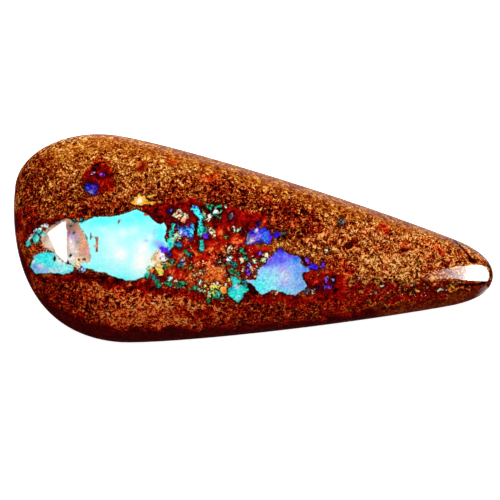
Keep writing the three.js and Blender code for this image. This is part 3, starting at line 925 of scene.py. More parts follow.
@dataclass
class StoneForm:
    """The stone's shape: a pear-shaped plan, a domed top, a rounded belly and a flat back.

    The summit, the reaches and the outline are shares of half the length or half the width. The belly's
    depth is a share of the girdle's height. Slopes and turns are in degrees. The clearance is how steeply
    the bevel's plane climbs out of the stone above the crease, as rise over run.
    """

    half_length: float
    half_width: float
    height: float
    girdle: float = 1.7 * MM
    crown: float = 2.0 * MM
    shoulder_at_butt: float = 4.4 * MM
    shoulder_at_tip: float = 2.3 * MM
    summit: float = -0.4
    reach_to_butt: float = 0.6
    reach_to_tip: float = 1.44
    reach_across: float = 1.16
    belly_depth: float = 1.35
    belly_squareness: float = 4.0
    bevel_start: float = 0.0
    bevel_slope: float = 34.0
    crease_start: Place = (11.8 * MM, -1.62 * MM)
    crease_end: Place = (20.7 * MM, -0.78 * MM)
    crease_softness: float = 0.05 * MM
    clearance: float = 3.0
    facet_start: Vector = field(default_factory=lambda: Vector((18.3, 0.0, 4.6)) * MM)
    facet_slope: float = 31.0
    facet_turn: float = -12.0
    facet_softness: float = 0.12 * MM
    curve_points: int = 96
    butt: Share = (-1.0, 0.4)
    outline: tuple[tuple[Share, Share, Share], ...] = (
        ((-1.0, -0.2), (-0.9, -1.0), (-0.52, -1.0)),
        ((-0.38, -1.0), (0.29, -0.7), (0.82, -0.355)),
        ((0.94, -0.28), (1.0, -0.17), (1.0, -0.03)),
        ((1.0, 0.12), (0.935, 0.235), (0.82, 0.31)),
        ((0.29, 0.66), (-0.44, 1.0), (-0.63, 1.0)),
        ((-0.82, 1.0), (-1.0, 0.75), (-1.0, 0.4)),
    )

    @cached_property
    def rim(self) -> np.ndarray:
        """Draws the plan's outline from its curves.

        Returns:
            A closed run of points, lower flank first.
        """
        size = np.array((self.half_length, self.half_width))
        points: list[Vector] = []
        start = self.butt
        for first, second, end in self.outline:
            corners = [Vector((*corner, 0.0)) for corner in (start, first, second, end)]
            points += interpolate_bezier(*corners, self.curve_points)[:-1]
            start = end
        points.append(points[0])
        return np.array([(point.x, point.y) for point in points]) * size

    def edge_across(self, along: np.ndarray, upper: np.ndarray) -> np.ndarray:
        """Finds the outline's Y over places along X.

        Args:
            along: Places along X.
            upper: True for the upper flank, false for the lower.

        Returns:
            The outline's Y at each place.
        """
        tip = int(np.argmax(self.rim[:, 0]))
        lower_flank = self.rim[: tip + 1]
        upper_flank = self.rim[tip:][::-1]
        high = np.interp(along, upper_flank[:, 0], upper_flank[:, 1])
        low = np.interp(along, lower_flank[:, 0], lower_flank[:, 1])
        return np.where(upper, high, low)

    def dome(self, plan: np.ndarray) -> np.ndarray:
        """Finds the dome's height over places of the plan.

        Args:
            plan: Places in the plan, one row each.

        Returns:
            The height over each place.
        """
        inset = distance_to_path(plan, self.rim)
        along = plan[:, 0] - self.summit * self.half_length
        reach = np.where(along < 0.0, self.reach_to_butt, self.reach_to_tip) * self.half_length
        fall = (along / reach) ** 2 + (plan[:, 1] / (self.reach_across * self.half_width)) ** 2
        share = (plan[:, 0] / self.half_length + 1.0) / 2.0
        width = self.shoulder_at_butt + (self.shoulder_at_tip - self.shoulder_at_butt) * share
        to_go = 1.0 - np.minimum(inset / width, 1.0)
        shoulder = np.sqrt(1.0 - to_go * to_go)
        return self.girdle + shoulder * (self.height - self.girdle - self.crown * fall)

    def faceted(self, plan: np.ndarray) -> np.ndarray:
        """Finds the dome's height with the small facet at the tip ground off.

        Args:
            plan: Places in the plan, one row each.

        Returns:
            The height over each place.
        """
        turn = math.radians(self.facet_turn)
        away = plan - np.array(self.facet_start)[:2]
        fall = away[:, 0] * math.cos(turn) + away[:, 1] * math.sin(turn)
        facet = self.facet_start.z - fall * math.tan(math.radians(self.facet_slope))
        return self.soft_lower(self.dome(plan), facet, self.facet_softness)

    def top(self, plan: np.ndarray) -> np.ndarray:
        """Finds the polished top's height, with the tip's facet and bevel ground off.

        Args:
            plan: Places in the plan, one row each.

        Returns:
            The height over each place.
        """
        uncut = self.faceted(plan)
        crease = np.interp(plan[:, 0], *zip(self.crease_start, self.crease_end))
        at_crease = self.faceted(np.column_stack((plan[:, 0], crease)))
        below = crease - plan[:, 1]
        fall = np.where(below > 0.0, math.tan(math.radians(self.bevel_slope)), self.clearance) * below
        ground = self.soft_lower(uncut, at_crease - fall, self.crease_softness)
        ease = smooth_step((plan[:, 0] - self.bevel_start) / (self.crease_start[0] - self.bevel_start))
        return uncut + ease * (ground - uncut)

    @staticmethod
    def soft_lower(first: np.ndarray, second: np.ndarray, softness: float) -> np.ndarray:
        """Takes the lower of two heights, with a rounded edge between them."""
        return first - softness * np.logaddexp(0.0, (first - second) / softness)


@dataclass
class BoulderOpal:
    """The stone itself, one piece of ironstone and opal.

    The two rises are shares of the girdle's height. Opal shows above the first. Below the second, the
    flanks' own colours fade out towards the back.
    """

    form: StoneForm
    camera: PhotoCamera
    cells_along: int = 420
    cells_across: int = 180
    belly_rings: int = 7
    fissure_depth: float = 0.09 * MM
    opal_rise: float = 0.9
    flank_rise: float = 0.7

    def build(self) -> bpy.types.Object:
        """Models the stone and lays its colours out.

        Returns:
            The stone's object.
        """
        shape = bmesh.new()
        self.model_top(shape)
        self.model_belly(shape)
        bmesh.ops.recalc_face_normals(shape, faces=shape.faces)
        for face in shape.faces:
            face.smooth = True
        stone = to_object("polished_stone", shape)
        self.mark(stone.data)
        return stone

    def model_top(self, shape: bmesh.types.BMesh) -> None:
        """Draws a grid out over the plan and lifts it to the polished top.

        Args:
            shape: The mesh to add the top to.
        """
        bmesh.ops.create_grid(shape, x_segments=self.cells_along, y_segments=self.cells_across, size=1.0)
        square = np.array([vert.co.xy for vert in shape.verts])
        disc = square * np.sqrt(1.0 - square[:, ::-1] ** 2 / 2.0)
        smallest_radius = 1e-9
        radius = np.maximum(np.hypot(disc[:, 0], disc[:, 1]), smallest_radius)
        rim_along = np.clip(disc[:, 0] / radius, -1.0, 1.0) * self.form.half_length
        across = radius * self.form.edge_across(rim_along, disc[:, 1] > 0.0)
        plan = np.stack((disc[:, 0] * self.form.half_length, across), axis=1)
        heights = self.form.top(plan)
        sunk = self.fissure_sink(np.column_stack((plan, heights)))
        for vert, (x, y), height in zip(shape.verts, plan, heights - sunk):
            vert.co = (x, y, height)

    def fissure_sink(self, points: np.ndarray) -> np.ndarray:
        """How deep the fissure near the tip sinks each point."""
        depth = FISSURE.depth(self.camera.pixels(points))
        return self.fissure_depth * smooth_step(depth / FISSURE.width + 0.5)

    def model_belly(self, shape: bmesh.types.BMesh) -> None:
        """Draws the rim down round the belly and closes the flat back.

        Args:
            shape: The mesh that holds the top.
        """
        form = self.form
        middle = Vector((form.summit * form.half_length, 0.0, 0.0))
        depth = form.belly_depth * form.girdle
        rim = [edge for edge in shape.edges if edge.is_boundary]
        last_spread = 1.0
        last_height = form.girdle
        for ring in range(1, self.belly_rings + 1):
            height = form.girdle * (1.0 - ring / self.belly_rings)
            drop = (form.girdle - height) / depth
            spread = (1.0 - drop ** form.belly_squareness) ** (1.0 / form.belly_squareness)
            grown = bmesh.ops.extrude_edge_only(shape, edges=rim)["geom"]
            rim = [item for item in grown if isinstance(item, bmesh.types.BMEdge)]
            bmesh.ops.scale(
                shape,
                vec=(spread / last_spread, spread / last_spread, height / last_height),
                space=Matrix.Translation(-middle),
                verts=[item for item in grown if isinstance(item, bmesh.types.BMVert)],
            )
            last_spread = spread
            last_height = height
        bmesh.ops.edgeloop_fill(shape, edges=rim)

    def mark(self, mesh: bpy.types.Mesh) -> None:
        """Writes the fields that the finish reads, one value for each vertex.

        Args:
            mesh: The stone's mesh.
        """
        points = vertex_places(mesh)
        pixels = self.camera.pixels(points)
        rise = points[:, 2] / self.form.girdle
        fields = FaceFields(pixels, rise > self.opal_rise, smooth_step(rise / self.flank_rise))
        for name, values in fields.scalars().items():
            mesh.attributes.new(name, "FLOAT", "POINT").data.foreach_set("value", values)
        tint = mesh.attributes.new("opal_tint", "FLOAT_COLOR", "POINT")
        tint.data.foreach_set("color", np.column_stack((fields.tint, np.ones(len(pixels)))).ravel())


class FaceFields:
    """The stone's markings as smooth fields over its vertices."""

    PLAIN = {"tone": 0.5, "grain": 1.0, "red": 0.18, "flecks": -0.06, "clump": 0.55}
    NOWHERE = -50.0
    ZONE_WAVE = 11.0
    ZONE_WARP = 7.0
    ZONE_SEED = 1

    def __init__(self, pixels: np.ndarray, top: np.ndarray, above: np.ndarray) -> None:
        """Works the fields out.

        Args:
            pixels: Where each vertex falls in the photograph.
            top: True on the polished top, where opal shows.
            above: 1 on the top and the flanks, 0 on the back.
        """
        self.pixels = pixels
        self.top = top
        self.above = above
        self.opal, self.tint, self.mottle = self.lay_opal()
        self.values = self.lay_zones()

    def lay_opal(self) -> tuple[np.ndarray, np.ndarray, np.ndarray]:
        """Finds each vertex's depth inside the opal, its colour and its mottle there.

        Returns:
            The depth in pixels, linear colours, and the mottle's strength.
        """
        depth = np.full(len(self.pixels), self.NOWHERE)
        tint = np.zeros((len(self.pixels), 3))
        mottle = np.zeros(len(self.pixels))
        for marking in OPAL:
            here = marking.shape.depth(self.pixels)
            first = here > np.where(depth > 0.0, 0.0, depth)
            depth = np.where(first, here, depth)
            tint[first] = marking.colour(self.pixels[first])
            mottle[first] = marking.mottle
        return np.where(self.top, depth, self.NOWHERE), tint, mottle

    def lay_zones(self) -> dict[str, np.ndarray]:
        """Lays the ironstone's zones over each other, and then the dark gaps as sharp lines.

        Returns:
            One field for each of tone, grain, red, flecks and clump.
        """
        values = {name: np.full(len(self.pixels), plain) for name, plain in self.PLAIN.items()}
        self.lay(values, ZONES, self.warp(self.ZONE_WAVE, self.ZONE_WARP))
        self.lay(values, DARK_GAPS_AND_FISSURE_SHADE, self.pixels)
        return values

    def lay(self, values: dict[str, np.ndarray], zones: Iterable[Zone], places: np.ndarray) -> None:
        """Lays zones over the fields, one after the other.

        Args:
            values: The fields by name, which are changed.
            zones: The zones, lowest first.
            places: The pixels at which the zones are measured.
        """
        for zone in zones:
            weight = self.above * smooth_step(zone.shape.depth(places) / zone.fade + 0.5)
            for name, value in values.items():
                wanted = getattr(zone, name)
                if wanted is not None:
                    value += (wanted - value) * weight

    def warp(self, wave: float, reach: float) -> np.ndarray:
        """Pushes the vertices' pixels about, the same way each run, so that drawn edges turn wavy.

        Args:
            wave: The length of the waves, in pixels.
            reach: How far a pixel is pushed at most.

        Returns:
            The pushed pixels.
        """
        noise.seed_set(self.ZONE_SEED)
        pushes = [noise.noise_vector(Vector((x / wave, y / wave, 0.0))).xy for x, y in self.pixels]
        return self.pixels + reach * np.array(pushes)

    def scalars(self) -> dict[str, np.ndarray]:
        """The single-value fields by name."""
        return {"opal": self.opal, "mottle": self.mottle, **self.values}


Socket = bpy.types.NodeSocket
Value = Union[float, Sequence[float], Socket]
Stop = tuple[float, tuple[int, int, int]]


class NodeBench:
    """Adds nodes to one material and wires them."""

    def __init__(self, tree: bpy.types.NodeTree) -> None:
        """Keeps the tree that the nodes go in."""
        self.tree = tree

    def add(self, kind: str, **settings: object) -> bpy.types.Node:
        """Adds a node.

        Args:
            kind: The node's type.
            settings: The options to set on it.

        Returns:
            The node.
        """
        node = self.tree.nodes.new(kind)
        for name, value in settings.items():
            setattr(node, name, value)
        return node

    def feed(self, sockets: Sequence[Socket], *values: Value) -> None:
        """Gives sockets a value or a link each.

        Args:
            sockets: The sockets, in order.
            values: What goes in them.
        """
        for socket, value in zip(sockets, values):
            if isinstance(value, Socket):
                self.tree.links.new(value, socket)
            else:
                socket.default_value = value

    def math(self, operation: str, *values: Value) -> Socket:
        """Works one value out of others.

        Args:
            operation: The sum to do.
            values: The values, in the sum's order.

        Returns:
            The result.
        """
        node = self.add("ShaderNodeMath", operation=operation)
        self.feed(node.inputs, *values)
        return node.outputs[0]

    def vector(self, operation: str, first: Value, second: Value) -> Socket:
        """Works one vector out of two, or scales one.

        Args:
            operation: The sum to do.
            first: The first vector.
            second: The second vector, or the scale.

        Returns:
            The result.
        """
        node = self.add("ShaderNodeVectorMath", operation=operation)
        partner = node.inputs["Scale"] if operation == "SCALE" else node.inputs[1]
        self.feed((node.inputs[0], partner), first, second)
        return node.outputs[0]

    def field(self, name: str, output: str = "Fac") -> Socket:
        """Reads one of the mesh's own fields."""
        return self.add("ShaderNodeAttribute", attribute_name=name).outputs[output]

    def noise(self, at: Value, scale: float, detail: float = 1.0, roughness: float = 0.5,
              streaks: float = 0.0) -> bpy.types.Node:
        """Adds a cloudy pattern.

        Args:
            at: The places.
            scale: How many clouds there are to a millimetre.
            detail: How many finer layers it has.
            roughness: How strong the finer layers are.
            streaks: How far the clouds are drawn out.

        Returns:
            The pattern's node.
        """
        node = self.add("ShaderNodeTexNoise")
        names = ("Vector", "Scale", "Detail", "Roughness", "Distortion")
        self.feed([node.inputs[name] for name in names], at, scale, detail, roughness, streaks)
        return node

    def swing(self, at: Value, scale: float, detail: float = 1.0, roughness: float = 0.5,
              streaks: float = 0.0) -> Socket:
        """Adds a cloudy pattern that swings about zero.

        Args:
            at: The places.
            scale: How many clouds there are to a millimetre.
            detail: How many finer layers it has.
            roughness: How strong the finer layers are.
            streaks: How far the clouds are drawn out.

        Returns:
            The pattern, from -0.5 to 0.5.
        """
        return self.math("SUBTRACT", self.noise(at, scale, detail, roughness, streaks).outputs["Fac"], 0.5)

    def swings(self, at: Value, scale: float, detail: float = 1.0) -> Socket:
        """Adds three cloudy patterns in one vector, which swing about zero."""
        return self.vector("SUBTRACT", self.noise(at, scale, detail).outputs["Color"], (0.5, 0.5, 0.5))

    def cells(self, at: Value, scale: float, channel: int) -> Socket:
        """Adds a pattern of grains, each with a value of its own.

        Args:
            at: The places.
            scale: How many grains there are to a millimetre.
            channel: Which of a grain's three values to take.

        Returns:
            The grain's value, from 0 to 1.
        """
        node = self.add("ShaderNodeTexVoronoi")
        self.feed((node.inputs["Vector"], node.inputs["Scale"]), at, scale)
        parts = self.add("ShaderNodeSeparateColor")
        self.feed(parts.inputs, node.outputs["Color"])
        return parts.outputs[channel]

    def remap(self, value: Value, band: Range, to: Range = (0.0, 1.0)) -> Socket:
        """Stretches a band of values onto another, eased and held at both ends.

        Args:
            value: The value.
            band: The value's two ends.
            to: What the two ends become.

        Returns:
            The stretched value.
        """
        node = self.add("ShaderNodeMapRange", interpolation_type="SMOOTHSTEP")
        self.feed(node.inputs, value, *band, *to)
        return node.outputs[0]

    def blend(self, share: Value, first: Value, second: Value, kind: str = "MIX") -> Socket:
        """Mixes two colours.

        Args:
            share: How much of the second is taken.
            first: The first colour.
            second: The second colour.
            kind: How they are mixed.

        Returns:
            The mixed colour.
        """
        node = self.add("ShaderNodeMix", data_type="RGBA", blend_type=kind)
        self.feed((node.inputs[0], node.inputs[6], node.inputs[7]), share, first, second)
        return node.outputs[2]

    def ramp(self, value: Value, stops: Sequence[Stop]) -> Socket:
        """Colours a value by a row of stops.

        Args:
            value: The value, from 0 to 1.
            stops: The places and display colours, lowest first.

        Returns:
            The colour.
        """
        node = self.add("ShaderNodeValToRGB")
        points = node.color_ramp.elements
        while len(points) < len(stops):
            points.new(1.0)
        for point, (place, display) in zip(points, stops):
            point.position = place
            point.color = (*to_linear(display), 1.0)
        self.feed(node.inputs, value)
        return node.outputs[0]


@dataclass(frozen=True)
class PolishedOpalFinish:
    """Granular ironstone and opal under one high polish.

    Scales count patterns to a millimetre, and bands are the two ends between which a pattern takes hold.
    """

    name: str = "polished_boulder_opal"
    wave_scale: float = 1.1
    wave_reach: float = 0.5
    grain_scale: float = 4.8
    grain_contrast: float = 1.8
    grain_streaks: float = 1.0
    cell_contrast: float = 0.3
    strand_scale: float = 2.5
    strand_band: Range = (0.01, 0.09)
    strand_lift: Range = (0.3, -0.14)
    clump_scale: float = 1.5
    drift_scale: float = 0.35
    drift_contrast: float = 0.16
    crack_scale: float = 1.2
    crack_band: Range = (0.03, 0.0)
    crack_clumps: Range = (0.8, 2.0)
    crack_depth: float = 0.5
    stains: tuple[Range, ...] = ((0.75, 1.4), (2.4, 1.6))
    blood_band: Range = (1.1, 1.45)
    grain_hues: tuple[float, float, float] = (0.3, 0.8, 1.1)
    red_evenness: float = 0.8
    stone_shade: float = 0.86
    fleck_scale: float = 5.76
    fleck_offset: tuple[float, float, float] = (31.0, 17.0, 5.0)
    fleck_band: Range = (0.69, 0.74)
    fleck_kind_scale: float = 2.16
    ragged_scale: float = 1.6
    edge_raggedness: float = 5.0
    nibble_scale: float = 5.0
    edge_nibbles: float = 6.0
    edge_band: Range = (-0.6, 0.6)
    rim_band: Range = (-3.6, -0.5)
    rim_depth: float = 0.85
    rim_light: Light = (0.01, 0.0003, 0.0003, 1.0)
    cloud_scale: float = 1.4
    cloud_band: Range = (0.5, 0.75)
    cloud_white: float = 0.3
    calm_band: Range = (0.5, 0.1)
    sparkle_scale: float = 5.5
    bright_band: Range = (0.5, 0.66)
    dark_band: Range = (0.54, 0.42)
    pale_opal: float = 0.72
    deep_opal: float = 0.16
    opal_hues: tuple[float, float, float] = (3.4, 1.9, 0.6)
    relief_strength: float = 0.06
    relief_depth: float = 0.05 * MM
    stone_roughness: float = 0.3
    polish_roughness: float = 0.03
    polish_index: float = 1.5
    iron: tuple[Stop, ...] = (
        (0.0, (12, 0, 0)),
        (0.06, (48, 2, 0)),
        (0.15, (74, 4, 0)),
        (0.3, (102, 10, 0)),
        (0.42, (126, 34, 3)),
        (0.54, (152, 70, 12)),
        (0.66, (178, 99, 24)),
        (0.78, (202, 128, 42)),
        (0.9, (238, 168, 74)),
        (1.0, (255, 212, 130)),
    )
    rust: tuple[Stop, ...] = (
        (0.0, (12, 0, 0)),
        (0.06, (44, 0, 0)),
        (0.15, (70, 0, 0)),
        (0.3, (98, 2, 1)),
        (0.45, (140, 3, 1)),
        (0.58, (178, 10, 2)),
        (0.7, (204, 30, 4)),
        (0.82, (220, 62, 9)),
        (0.92, (228, 98, 26)),
        (1.0, (246, 142, 60)),
    )
    blood: tuple[Stop, ...] = (
        (0.0, (10, 0, 0)),
        (0.15, (64, 0, 0)),
        (0.3, (98, 1, 1)),
        (0.5, (150, 3, 2)),
        (0.7, (200, 12, 4)),
        (0.85, (226, 44, 14)),
        (1.0, (244, 120, 60)),
    )
    fleck_kinds: tuple[Stop, ...] = (
        (0.0, (246, 176, 84)),
        (0.3, (254, 220, 150)),
        (0.5, (236, 130, 40)),
        (0.65, (255, 236, 200)),
        (0.85, (60, 140, 80)),
    )

    def build(self) -> bpy.types.Material:
        """Wires the material.

        Returns:
            The finish, ready for the stone.
        """
        material = bpy.data.materials.new(self.name)
        material.use_nodes = True
        bench = NodeBench(material.node_tree)
        shader = material.node_tree.nodes["Principled BSDF"]
        at = self.coordinates(bench)
        grain = self.grain(bench, at)
        depth = self.opal_depth(bench, at)
        shadow = bench.remap(depth, self.rim_band, (0.0, self.rim_depth))
        rock = bench.blend(shadow, self.ironstone(bench, at, grain), self.rim_light)
        face = bench.blend(bench.remap(depth, self.edge_band), rock, self.opal_colour(bench, at))
        bench.feed((shader.inputs["Base Color"], shader.inputs["Normal"]), face, self.relief(bench, grain))
        shader.inputs["Roughness"].default_value = self.stone_roughness
        shader.inputs["Specular IOR Level"].default_value = 0.0
        shader.inputs["Coat Weight"].default_value = 1.0
        shader.inputs["Coat Roughness"].default_value = self.polish_roughness
        shader.inputs["Coat IOR"].default_value = self.polish_index
        return material

    def coordinates(self, bench: NodeBench) -> Socket:
        """Gives places on the stone in millimetres, a little wavy.

        Args:
            bench: Where the nodes go.

        Returns:
            The places.
        """
        sized = bench.add("ShaderNodeMapping")
        place = bench.add("ShaderNodeTexCoord").outputs["Object"]
        bench.feed((sized.inputs["Vector"], sized.inputs["Scale"]), place, (1.0 / MM,) * 3)
        shift = bench.vector("SCALE", bench.swings(sized.outputs[0], self.wave_scale, 2.0), self.wave_reach)
        return bench.vector("ADD", sized.outputs[0], shift)

    def grain(self, bench: NodeBench, at: Value) -> Socket:
        """Gives the ironstone's grain: clouds, single grains and bright strands.

        Args:
            bench: Where the nodes go.
            at: The places, in millimetres.

        Returns:
            The grain, about zero in the middle.
        """
        fine = bench.swing(at, self.grain_scale, 1.5, 0.55, self.grain_streaks)
        cloudy = bench.math("MULTIPLY", fine, self.grain_contrast)
        cell = bench.math("SUBTRACT", bench.cells(at, self.grain_scale, 0), 0.5)
        single = bench.math("MULTIPLY", cell, self.cell_contrast)
        off = bench.math("ABSOLUTE", bench.swing(at, self.strand_scale, streaks=self.grain_streaks))
        strands = bench.remap(off, self.strand_band, self.strand_lift)
        return bench.math("ADD", bench.math("ADD", cloudy, single), strands)

    def stone_tone(self, bench: NodeBench, at: Value) -> Socket:
        """Gives the ironstone's tone: its zones, its lumps and the cracks between them.

        Args:
            bench: Where the nodes go.
            at: The places, in millimetres.

        Returns:
            The tone, from 0 to 1.
        """
        clump = bench.field("clump")
        lumpy = bench.math("MULTIPLY_ADD", bench.swing(at, self.clump_scale, 2.0), clump, bench.field("tone"))
        tone = bench.math("MULTIPLY_ADD", bench.swing(at, self.drift_scale, 2.0), self.drift_contrast, lumpy)
        off = bench.math("ABSOLUTE", bench.swing(at, self.crack_scale, 2.0, 0.6, self.grain_streaks))
        depth = bench.remap(clump, self.crack_clumps, (0.0, self.crack_depth))
        return bench.math("SUBTRACT", tone, bench.math("MULTIPLY", bench.remap(off, self.crack_band), depth))

    def ironstone(self, bench: NodeBench, at: Value, grain: Value) -> Socket:
        """Colours the ironstone by its zones and its grain.

        Args:
            bench: Where the nodes go.
            at: The places, in millimetres.
            grain: The grain at those places.

        Returns:
            The ironstone's colour.
        """
        value = bench.math("MULTIPLY_ADD", grain, bench.field("grain"), self.stone_tone(bench, at))
        red = bench.field("red")
        for scale, contrast in self.stains:
            red = bench.math("MULTIPLY_ADD", bench.swing(at, scale, 2.0), contrast, red)
        redness = bench.math("MAXIMUM", bench.math("MINIMUM", red, 1.0), 0.0)
        rock = bench.blend(redness, bench.ramp(value, self.iron), bench.ramp(value, self.rust))
        rock = bench.blend(bench.remap(red, self.blood_band), rock, bench.ramp(value, self.blood))
        variety = bench.math("MULTIPLY_ADD", redness, -self.red_evenness, 1.0)
        jitter = bench.vector("SCALE", bench.swings(at, self.grain_scale), variety)
        hues = bench.vector("ADD", bench.vector("MULTIPLY", jitter, self.grain_hues), (self.stone_shade,) * 3)
        return self.with_flecks(bench, at, bench.blend(1.0, rock, hues, "MULTIPLY"))

    def with_flecks(self, bench: NodeBench, at: Value, rock: Value) -> Socket:
        """Scatters bright grains over the ironstone.

        Args:
            bench: Where the nodes go.
            at: The places, in millimetres.
            rock: The ironstone's colour.

        Returns:
            The colour with the grains in it.
        """
        speck = bench.noise(bench.vector("ADD", at, self.fleck_offset), self.fleck_scale).outputs["Fac"]
        chance = bench.math("ADD", speck, bench.field("flecks"))
        kind = bench.ramp(bench.cells(at, self.fleck_kind_scale, 1), self.fleck_kinds)
        return bench.blend(bench.remap(chance, self.fleck_band), rock, kind)

    def opal_depth(self, bench: NodeBench, at: Value) -> Socket:
        """Gives the depth inside the opal, with a ragged edge.

        Args:
            bench: Where the nodes go.
            at: The places, in millimetres.

        Returns:
            The depth, in pixels.
        """
        ragged = bench.swing(at, self.ragged_scale, 3.0, 0.6)
        wide = bench.math("MULTIPLY_ADD", ragged, self.edge_raggedness, bench.field("opal"))
        nibbles = bench.math("MULTIPLY", bench.field("mottle"), self.edge_nibbles)
        return bench.math("MULTIPLY_ADD", bench.swing(at, self.nibble_scale), nibbles, wide)

    def opal_colour(self, bench: NodeBench, at: Value) -> Socket:
        """Gives the opal its colour, with a cloudiness and a sparkle.

        Args:
            bench: Where the nodes go.
            at: The places, in millimetres.

        Returns:
            The opal's colour.
        """
        tint = bench.field("opal_tint", "Color")
        mottle = bench.field("mottle")
        cloud = bench.noise(at, self.cloud_scale, 3.0, 0.6).outputs["Fac"]
        veil = bench.remap(cloud, self.cloud_band, (0.0, self.cloud_white))
        milky = bench.math("MULTIPLY", veil, bench.remap(mottle, self.calm_band))
        cloudy = bench.blend(milky, tint, (1.0, 1.0, 1.0, 1.0))
        sparkle = bench.noise(at, self.sparkle_scale).outputs["Fac"]
        bright = bench.math("MULTIPLY", bench.remap(sparkle, self.bright_band), mottle)
        restless = bench.math("MULTIPLY", mottle, mottle)
        dark = bench.math("MULTIPLY", bench.remap(sparkle, self.dark_band), restless)
        pale = bench.add("ShaderNodeGamma")
        bench.feed(pale.inputs, tint, self.pale_opal)
        rich = bench.blend(1.0, tint, tint, "MULTIPLY")
        deep = bench.blend(1.0, rich, (*(self.deep_opal,) * 3, 1.0), "MULTIPLY")
        sparkling = bench.blend(dark, bench.blend(bright, cloudy, pale.outputs[0]), deep)
        jitter = bench.vector("MULTIPLY", bench.swings(at, self.grain_scale), self.opal_hues)
        lively = bench.vector("ADD", bench.vector("SCALE", jitter, mottle), (1.0, 1.0, 1.0))
        return bench.blend(1.0, sparkling, lively, "MULTIPLY")

    def relief(self, bench: NodeBench, grain: Value) -> Socket:
        """Gives the stone a trace of its grain as relief.

        Args:
            bench: Where the nodes go.
            grain: The grain, as a height.

        Returns:
            The surface's direction.
        """
        bump = bench.add("ShaderNodeBump")
        bump.inputs["Strength"].default_value = self.relief_strength
        bump.inputs["Distance"].default_value = self.relief_depth
        bench.feed((bump.inputs["Height"],), grain)
        return bump.outputs[0]


@dataclass(frozen=True)
class Panel:
    """A soft rectangular panel that faces the stone, either lighting it or only mirrored in its polish."""

    name: str
    azimuth: float
    elevation: float
    size: tuple[float, float]
    glow: float
    mirrored: bool = False
    distance: float = 0.32

    def build(self) -> bpy.types.Object:
        """Makes the panel's light.

        Returns:
            The light's object.
        """
        back = direction(self.azimuth, self.elevation)
        data = bpy.data.lights.new(self.name, "AREA")
        data.shape = "RECTANGLE"
        data.size, data.size_y = self.size
        data.energy = self.glow * math.pi * self.size[0] * self.size[1]
        light = bpy.data.objects.new(self.name, data)
        light.matrix_world = Matrix.LocRotScale(back * self.distance, back.to_track_quat("Z", "Y"), None)
        light.visible_camera = False
        light.visible_glossy = self.mirrored
        light.visible_diffuse = not self.mirrored
        bpy.context.collection.objects.link(light)
        return light


@dataclass(frozen=True)
class GlowCard:
    """A glowing ribbon that only the polish mirrors, cut to give its image in the stone these edges.

    Each row of the image holds a pixel on one edge, the pixel across from it, and the glow there.
    """

    name: str
    image: tuple[tuple[Pixel, Pixel, float], ...]
    distance: float = 0.3

    def build(self, stone: bpy.types.Object, camera: PhotoCamera) -> bpy.types.Object:
        """Cuts the card and hangs it where the stone mirrors it.

        Args:
            stone: The stone that mirrors it.
            camera: The camera that sees its image.

        Returns:
            The card's object.
        """
        shape = bmesh.new()
        bmesh.ops.create_grid(shape, x_segments=len(self.image) - 1, y_segments=1, size=self.distance)
        glow = shape.verts.layers.float.new("glow")
        row = sorted(shape.verts, key=lambda vert: (vert.co.x, vert.co.y))
        for first, second, (low, high, strength) in zip(row[::2], row[1::2], self.image):
            first.co = camera.mirror(stone.data, low, self.distance)
            second.co = camera.mirror(stone.data, high, self.distance)
            first[glow] = second[glow] = strength
        card = to_object(self.name, shape)
        card.data.materials.append(self.finish())
        card.visible_camera = False
        card.visible_diffuse = False
        card.visible_shadow = False
        return card

    def finish(self) -> bpy.types.Material:
        """Makes the card's glow, which fades from corner to corner.

        Returns:
            The card's material.
        """
        material = bpy.data.materials.new(self.name)
        material.use_nodes = True
        bench = NodeBench(material.node_tree)
        shader = material.node_tree.nodes["Principled BSDF"]
        shader.inputs["Base Color"].default_value = (0.0, 0.0, 0.0, 1.0)
        shader.inputs["Emission Color"].default_value = (1.0, 1.0, 1.0, 1.0)
        bench.feed((shader.inputs["Emission Strength"],), bench.field("glow"))
        return material


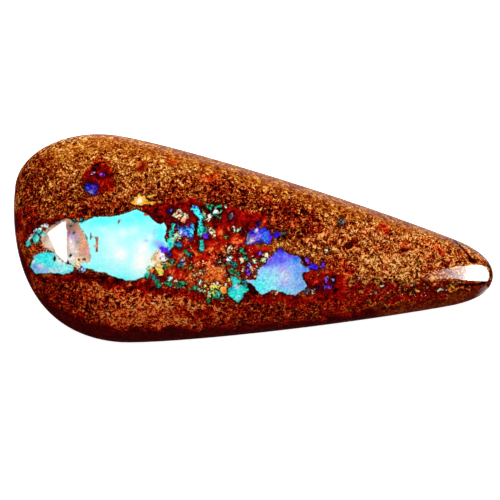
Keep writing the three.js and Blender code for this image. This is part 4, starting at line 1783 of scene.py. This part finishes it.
@dataclass
class Studio:
    """The pale floor, the lights and the dim room."""

    floor_half: float = 2.0
    floor_light: Light = (0.93, 0.93, 0.93, 1.0)
    floor_roughness: float = 0.9
    floor_glow: float = 0.9
    room_light: float = 0.015
    panels: tuple[Panel, ...] = (
        Panel("key_panel", 180.0, 50.0, (0.5, 0.3), 2.9),
        Panel("top_panel", 200.0, 80.0, (0.2, 0.2), 3.6),
        Panel("tip_panel", 84.0, 26.0, (0.22, 0.22), 26.0, mirrored=True),
        Panel("rim_panel", 170.0, -60.0, (0.45, 0.5), 0.4, mirrored=True),
    )
    cards: tuple[GlowCard, ...] = (
        GlowCard("butt_card", (
            ((64.6, 221.4), (65.6, 220.7), 24.0),
            ((46.8, 233.5), (66.0, 233.5), 24.0),
            ((53.5, 244.0), (66.4, 244.0), 24.0),
            ((55.5, 254.0), (66.8, 254.0), 24.0),
            ((66.2, 262.5), (67.2, 262.5), 24.0),
        )),
        GlowCard("veil_card", (
            ((426.0, 279.5), (426.0, 275.0), 0.8),
            ((436.0, 279.0), (436.0, 271.0), 2.2),
            ((446.0, 278.5), (446.0, 268.5), 5.5),
            ((454.0, 278.5), (454.0, 267.0), 9.5),
            ((460.0, 279.0), (460.0, 266.0), 13.0),
            ((465.0, 280.0), (465.0, 266.0), 18.0),
        ), 0.06),
        GlowCard("skirt_card", (
            ((474.0, 297.0), (475.0, 292.0), 0.1),
            ((481.0, 294.0), (481.0, 288.0), 1.2),
            ((487.0, 289.5), (486.0, 284.5), 1.6),
        ), 0.1),
    )

    def build(self, stone: bpy.types.Object, camera: PhotoCamera) -> None:
        """Makes the floor, the room and the lights.

        Args:
            stone: The stone that mirrors the cards.
            camera: The camera that sees it.
        """
        self.build_floor()
        self.build_room()
        for panel in self.panels:
            panel.build()
        for card in self.cards:
            card.build(stone, camera)
        view = bpy.context.scene.view_settings
        view.view_transform = "Standard"
        view.look = "None"

    def build_floor(self) -> None:
        """Makes the floor that the stone lies on."""
        shape = bmesh.new()
        bmesh.ops.create_grid(shape, x_segments=1, y_segments=1, size=self.floor_half)
        floor = to_object("floor", shape)
        floor.visible_glossy = False
        material = bpy.data.materials.new("pale_floor")
        material.use_nodes = True
        shader = material.node_tree.nodes["Principled BSDF"]
        shader.inputs["Base Color"].default_value = self.floor_light
        shader.inputs["Roughness"].default_value = self.floor_roughness
        shader.inputs["Specular IOR Level"].default_value = 0.0
        shader.inputs["Emission Color"].default_value = (1.0, 1.0, 1.0, 1.0)
        shader.inputs["Emission Strength"].default_value = self.floor_glow
        floor.data.materials.append(material)

    def build_room(self) -> None:
        """Lights the room dimly and evenly."""
        world = bpy.data.worlds.new("room")
        world.use_nodes = True
        backdrop = world.node_tree.nodes["Background"]
        backdrop.inputs["Color"].default_value = (1.0, 1.0, 1.0, 1.0)
        backdrop.inputs["Strength"].default_value = self.room_light
        bpy.context.scene.world = world


def main() -> None:
    """Builds the stone and the studio, and reports each piece."""
    logging.basicConfig(level=logging.INFO, format="%(name)s: %(message)s")
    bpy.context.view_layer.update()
    low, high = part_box(NODE)
    camera = PhotoCamera()
    camera.build()
    form = StoneForm((high.x - low.x) / 2.0, (high.y - low.y) / 2.0, high.z - low.z)
    stone = BoulderOpal(form, camera).build()
    stone.data.materials.append(PolishedOpalFinish().build())
    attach(stone, BODY)
    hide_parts(NODE)
    LOG.info("%s: %d faces", stone.name, len(stone.data.polygons))
    Studio().build(stone, camera)


if __name__ == "__main__":
    main()
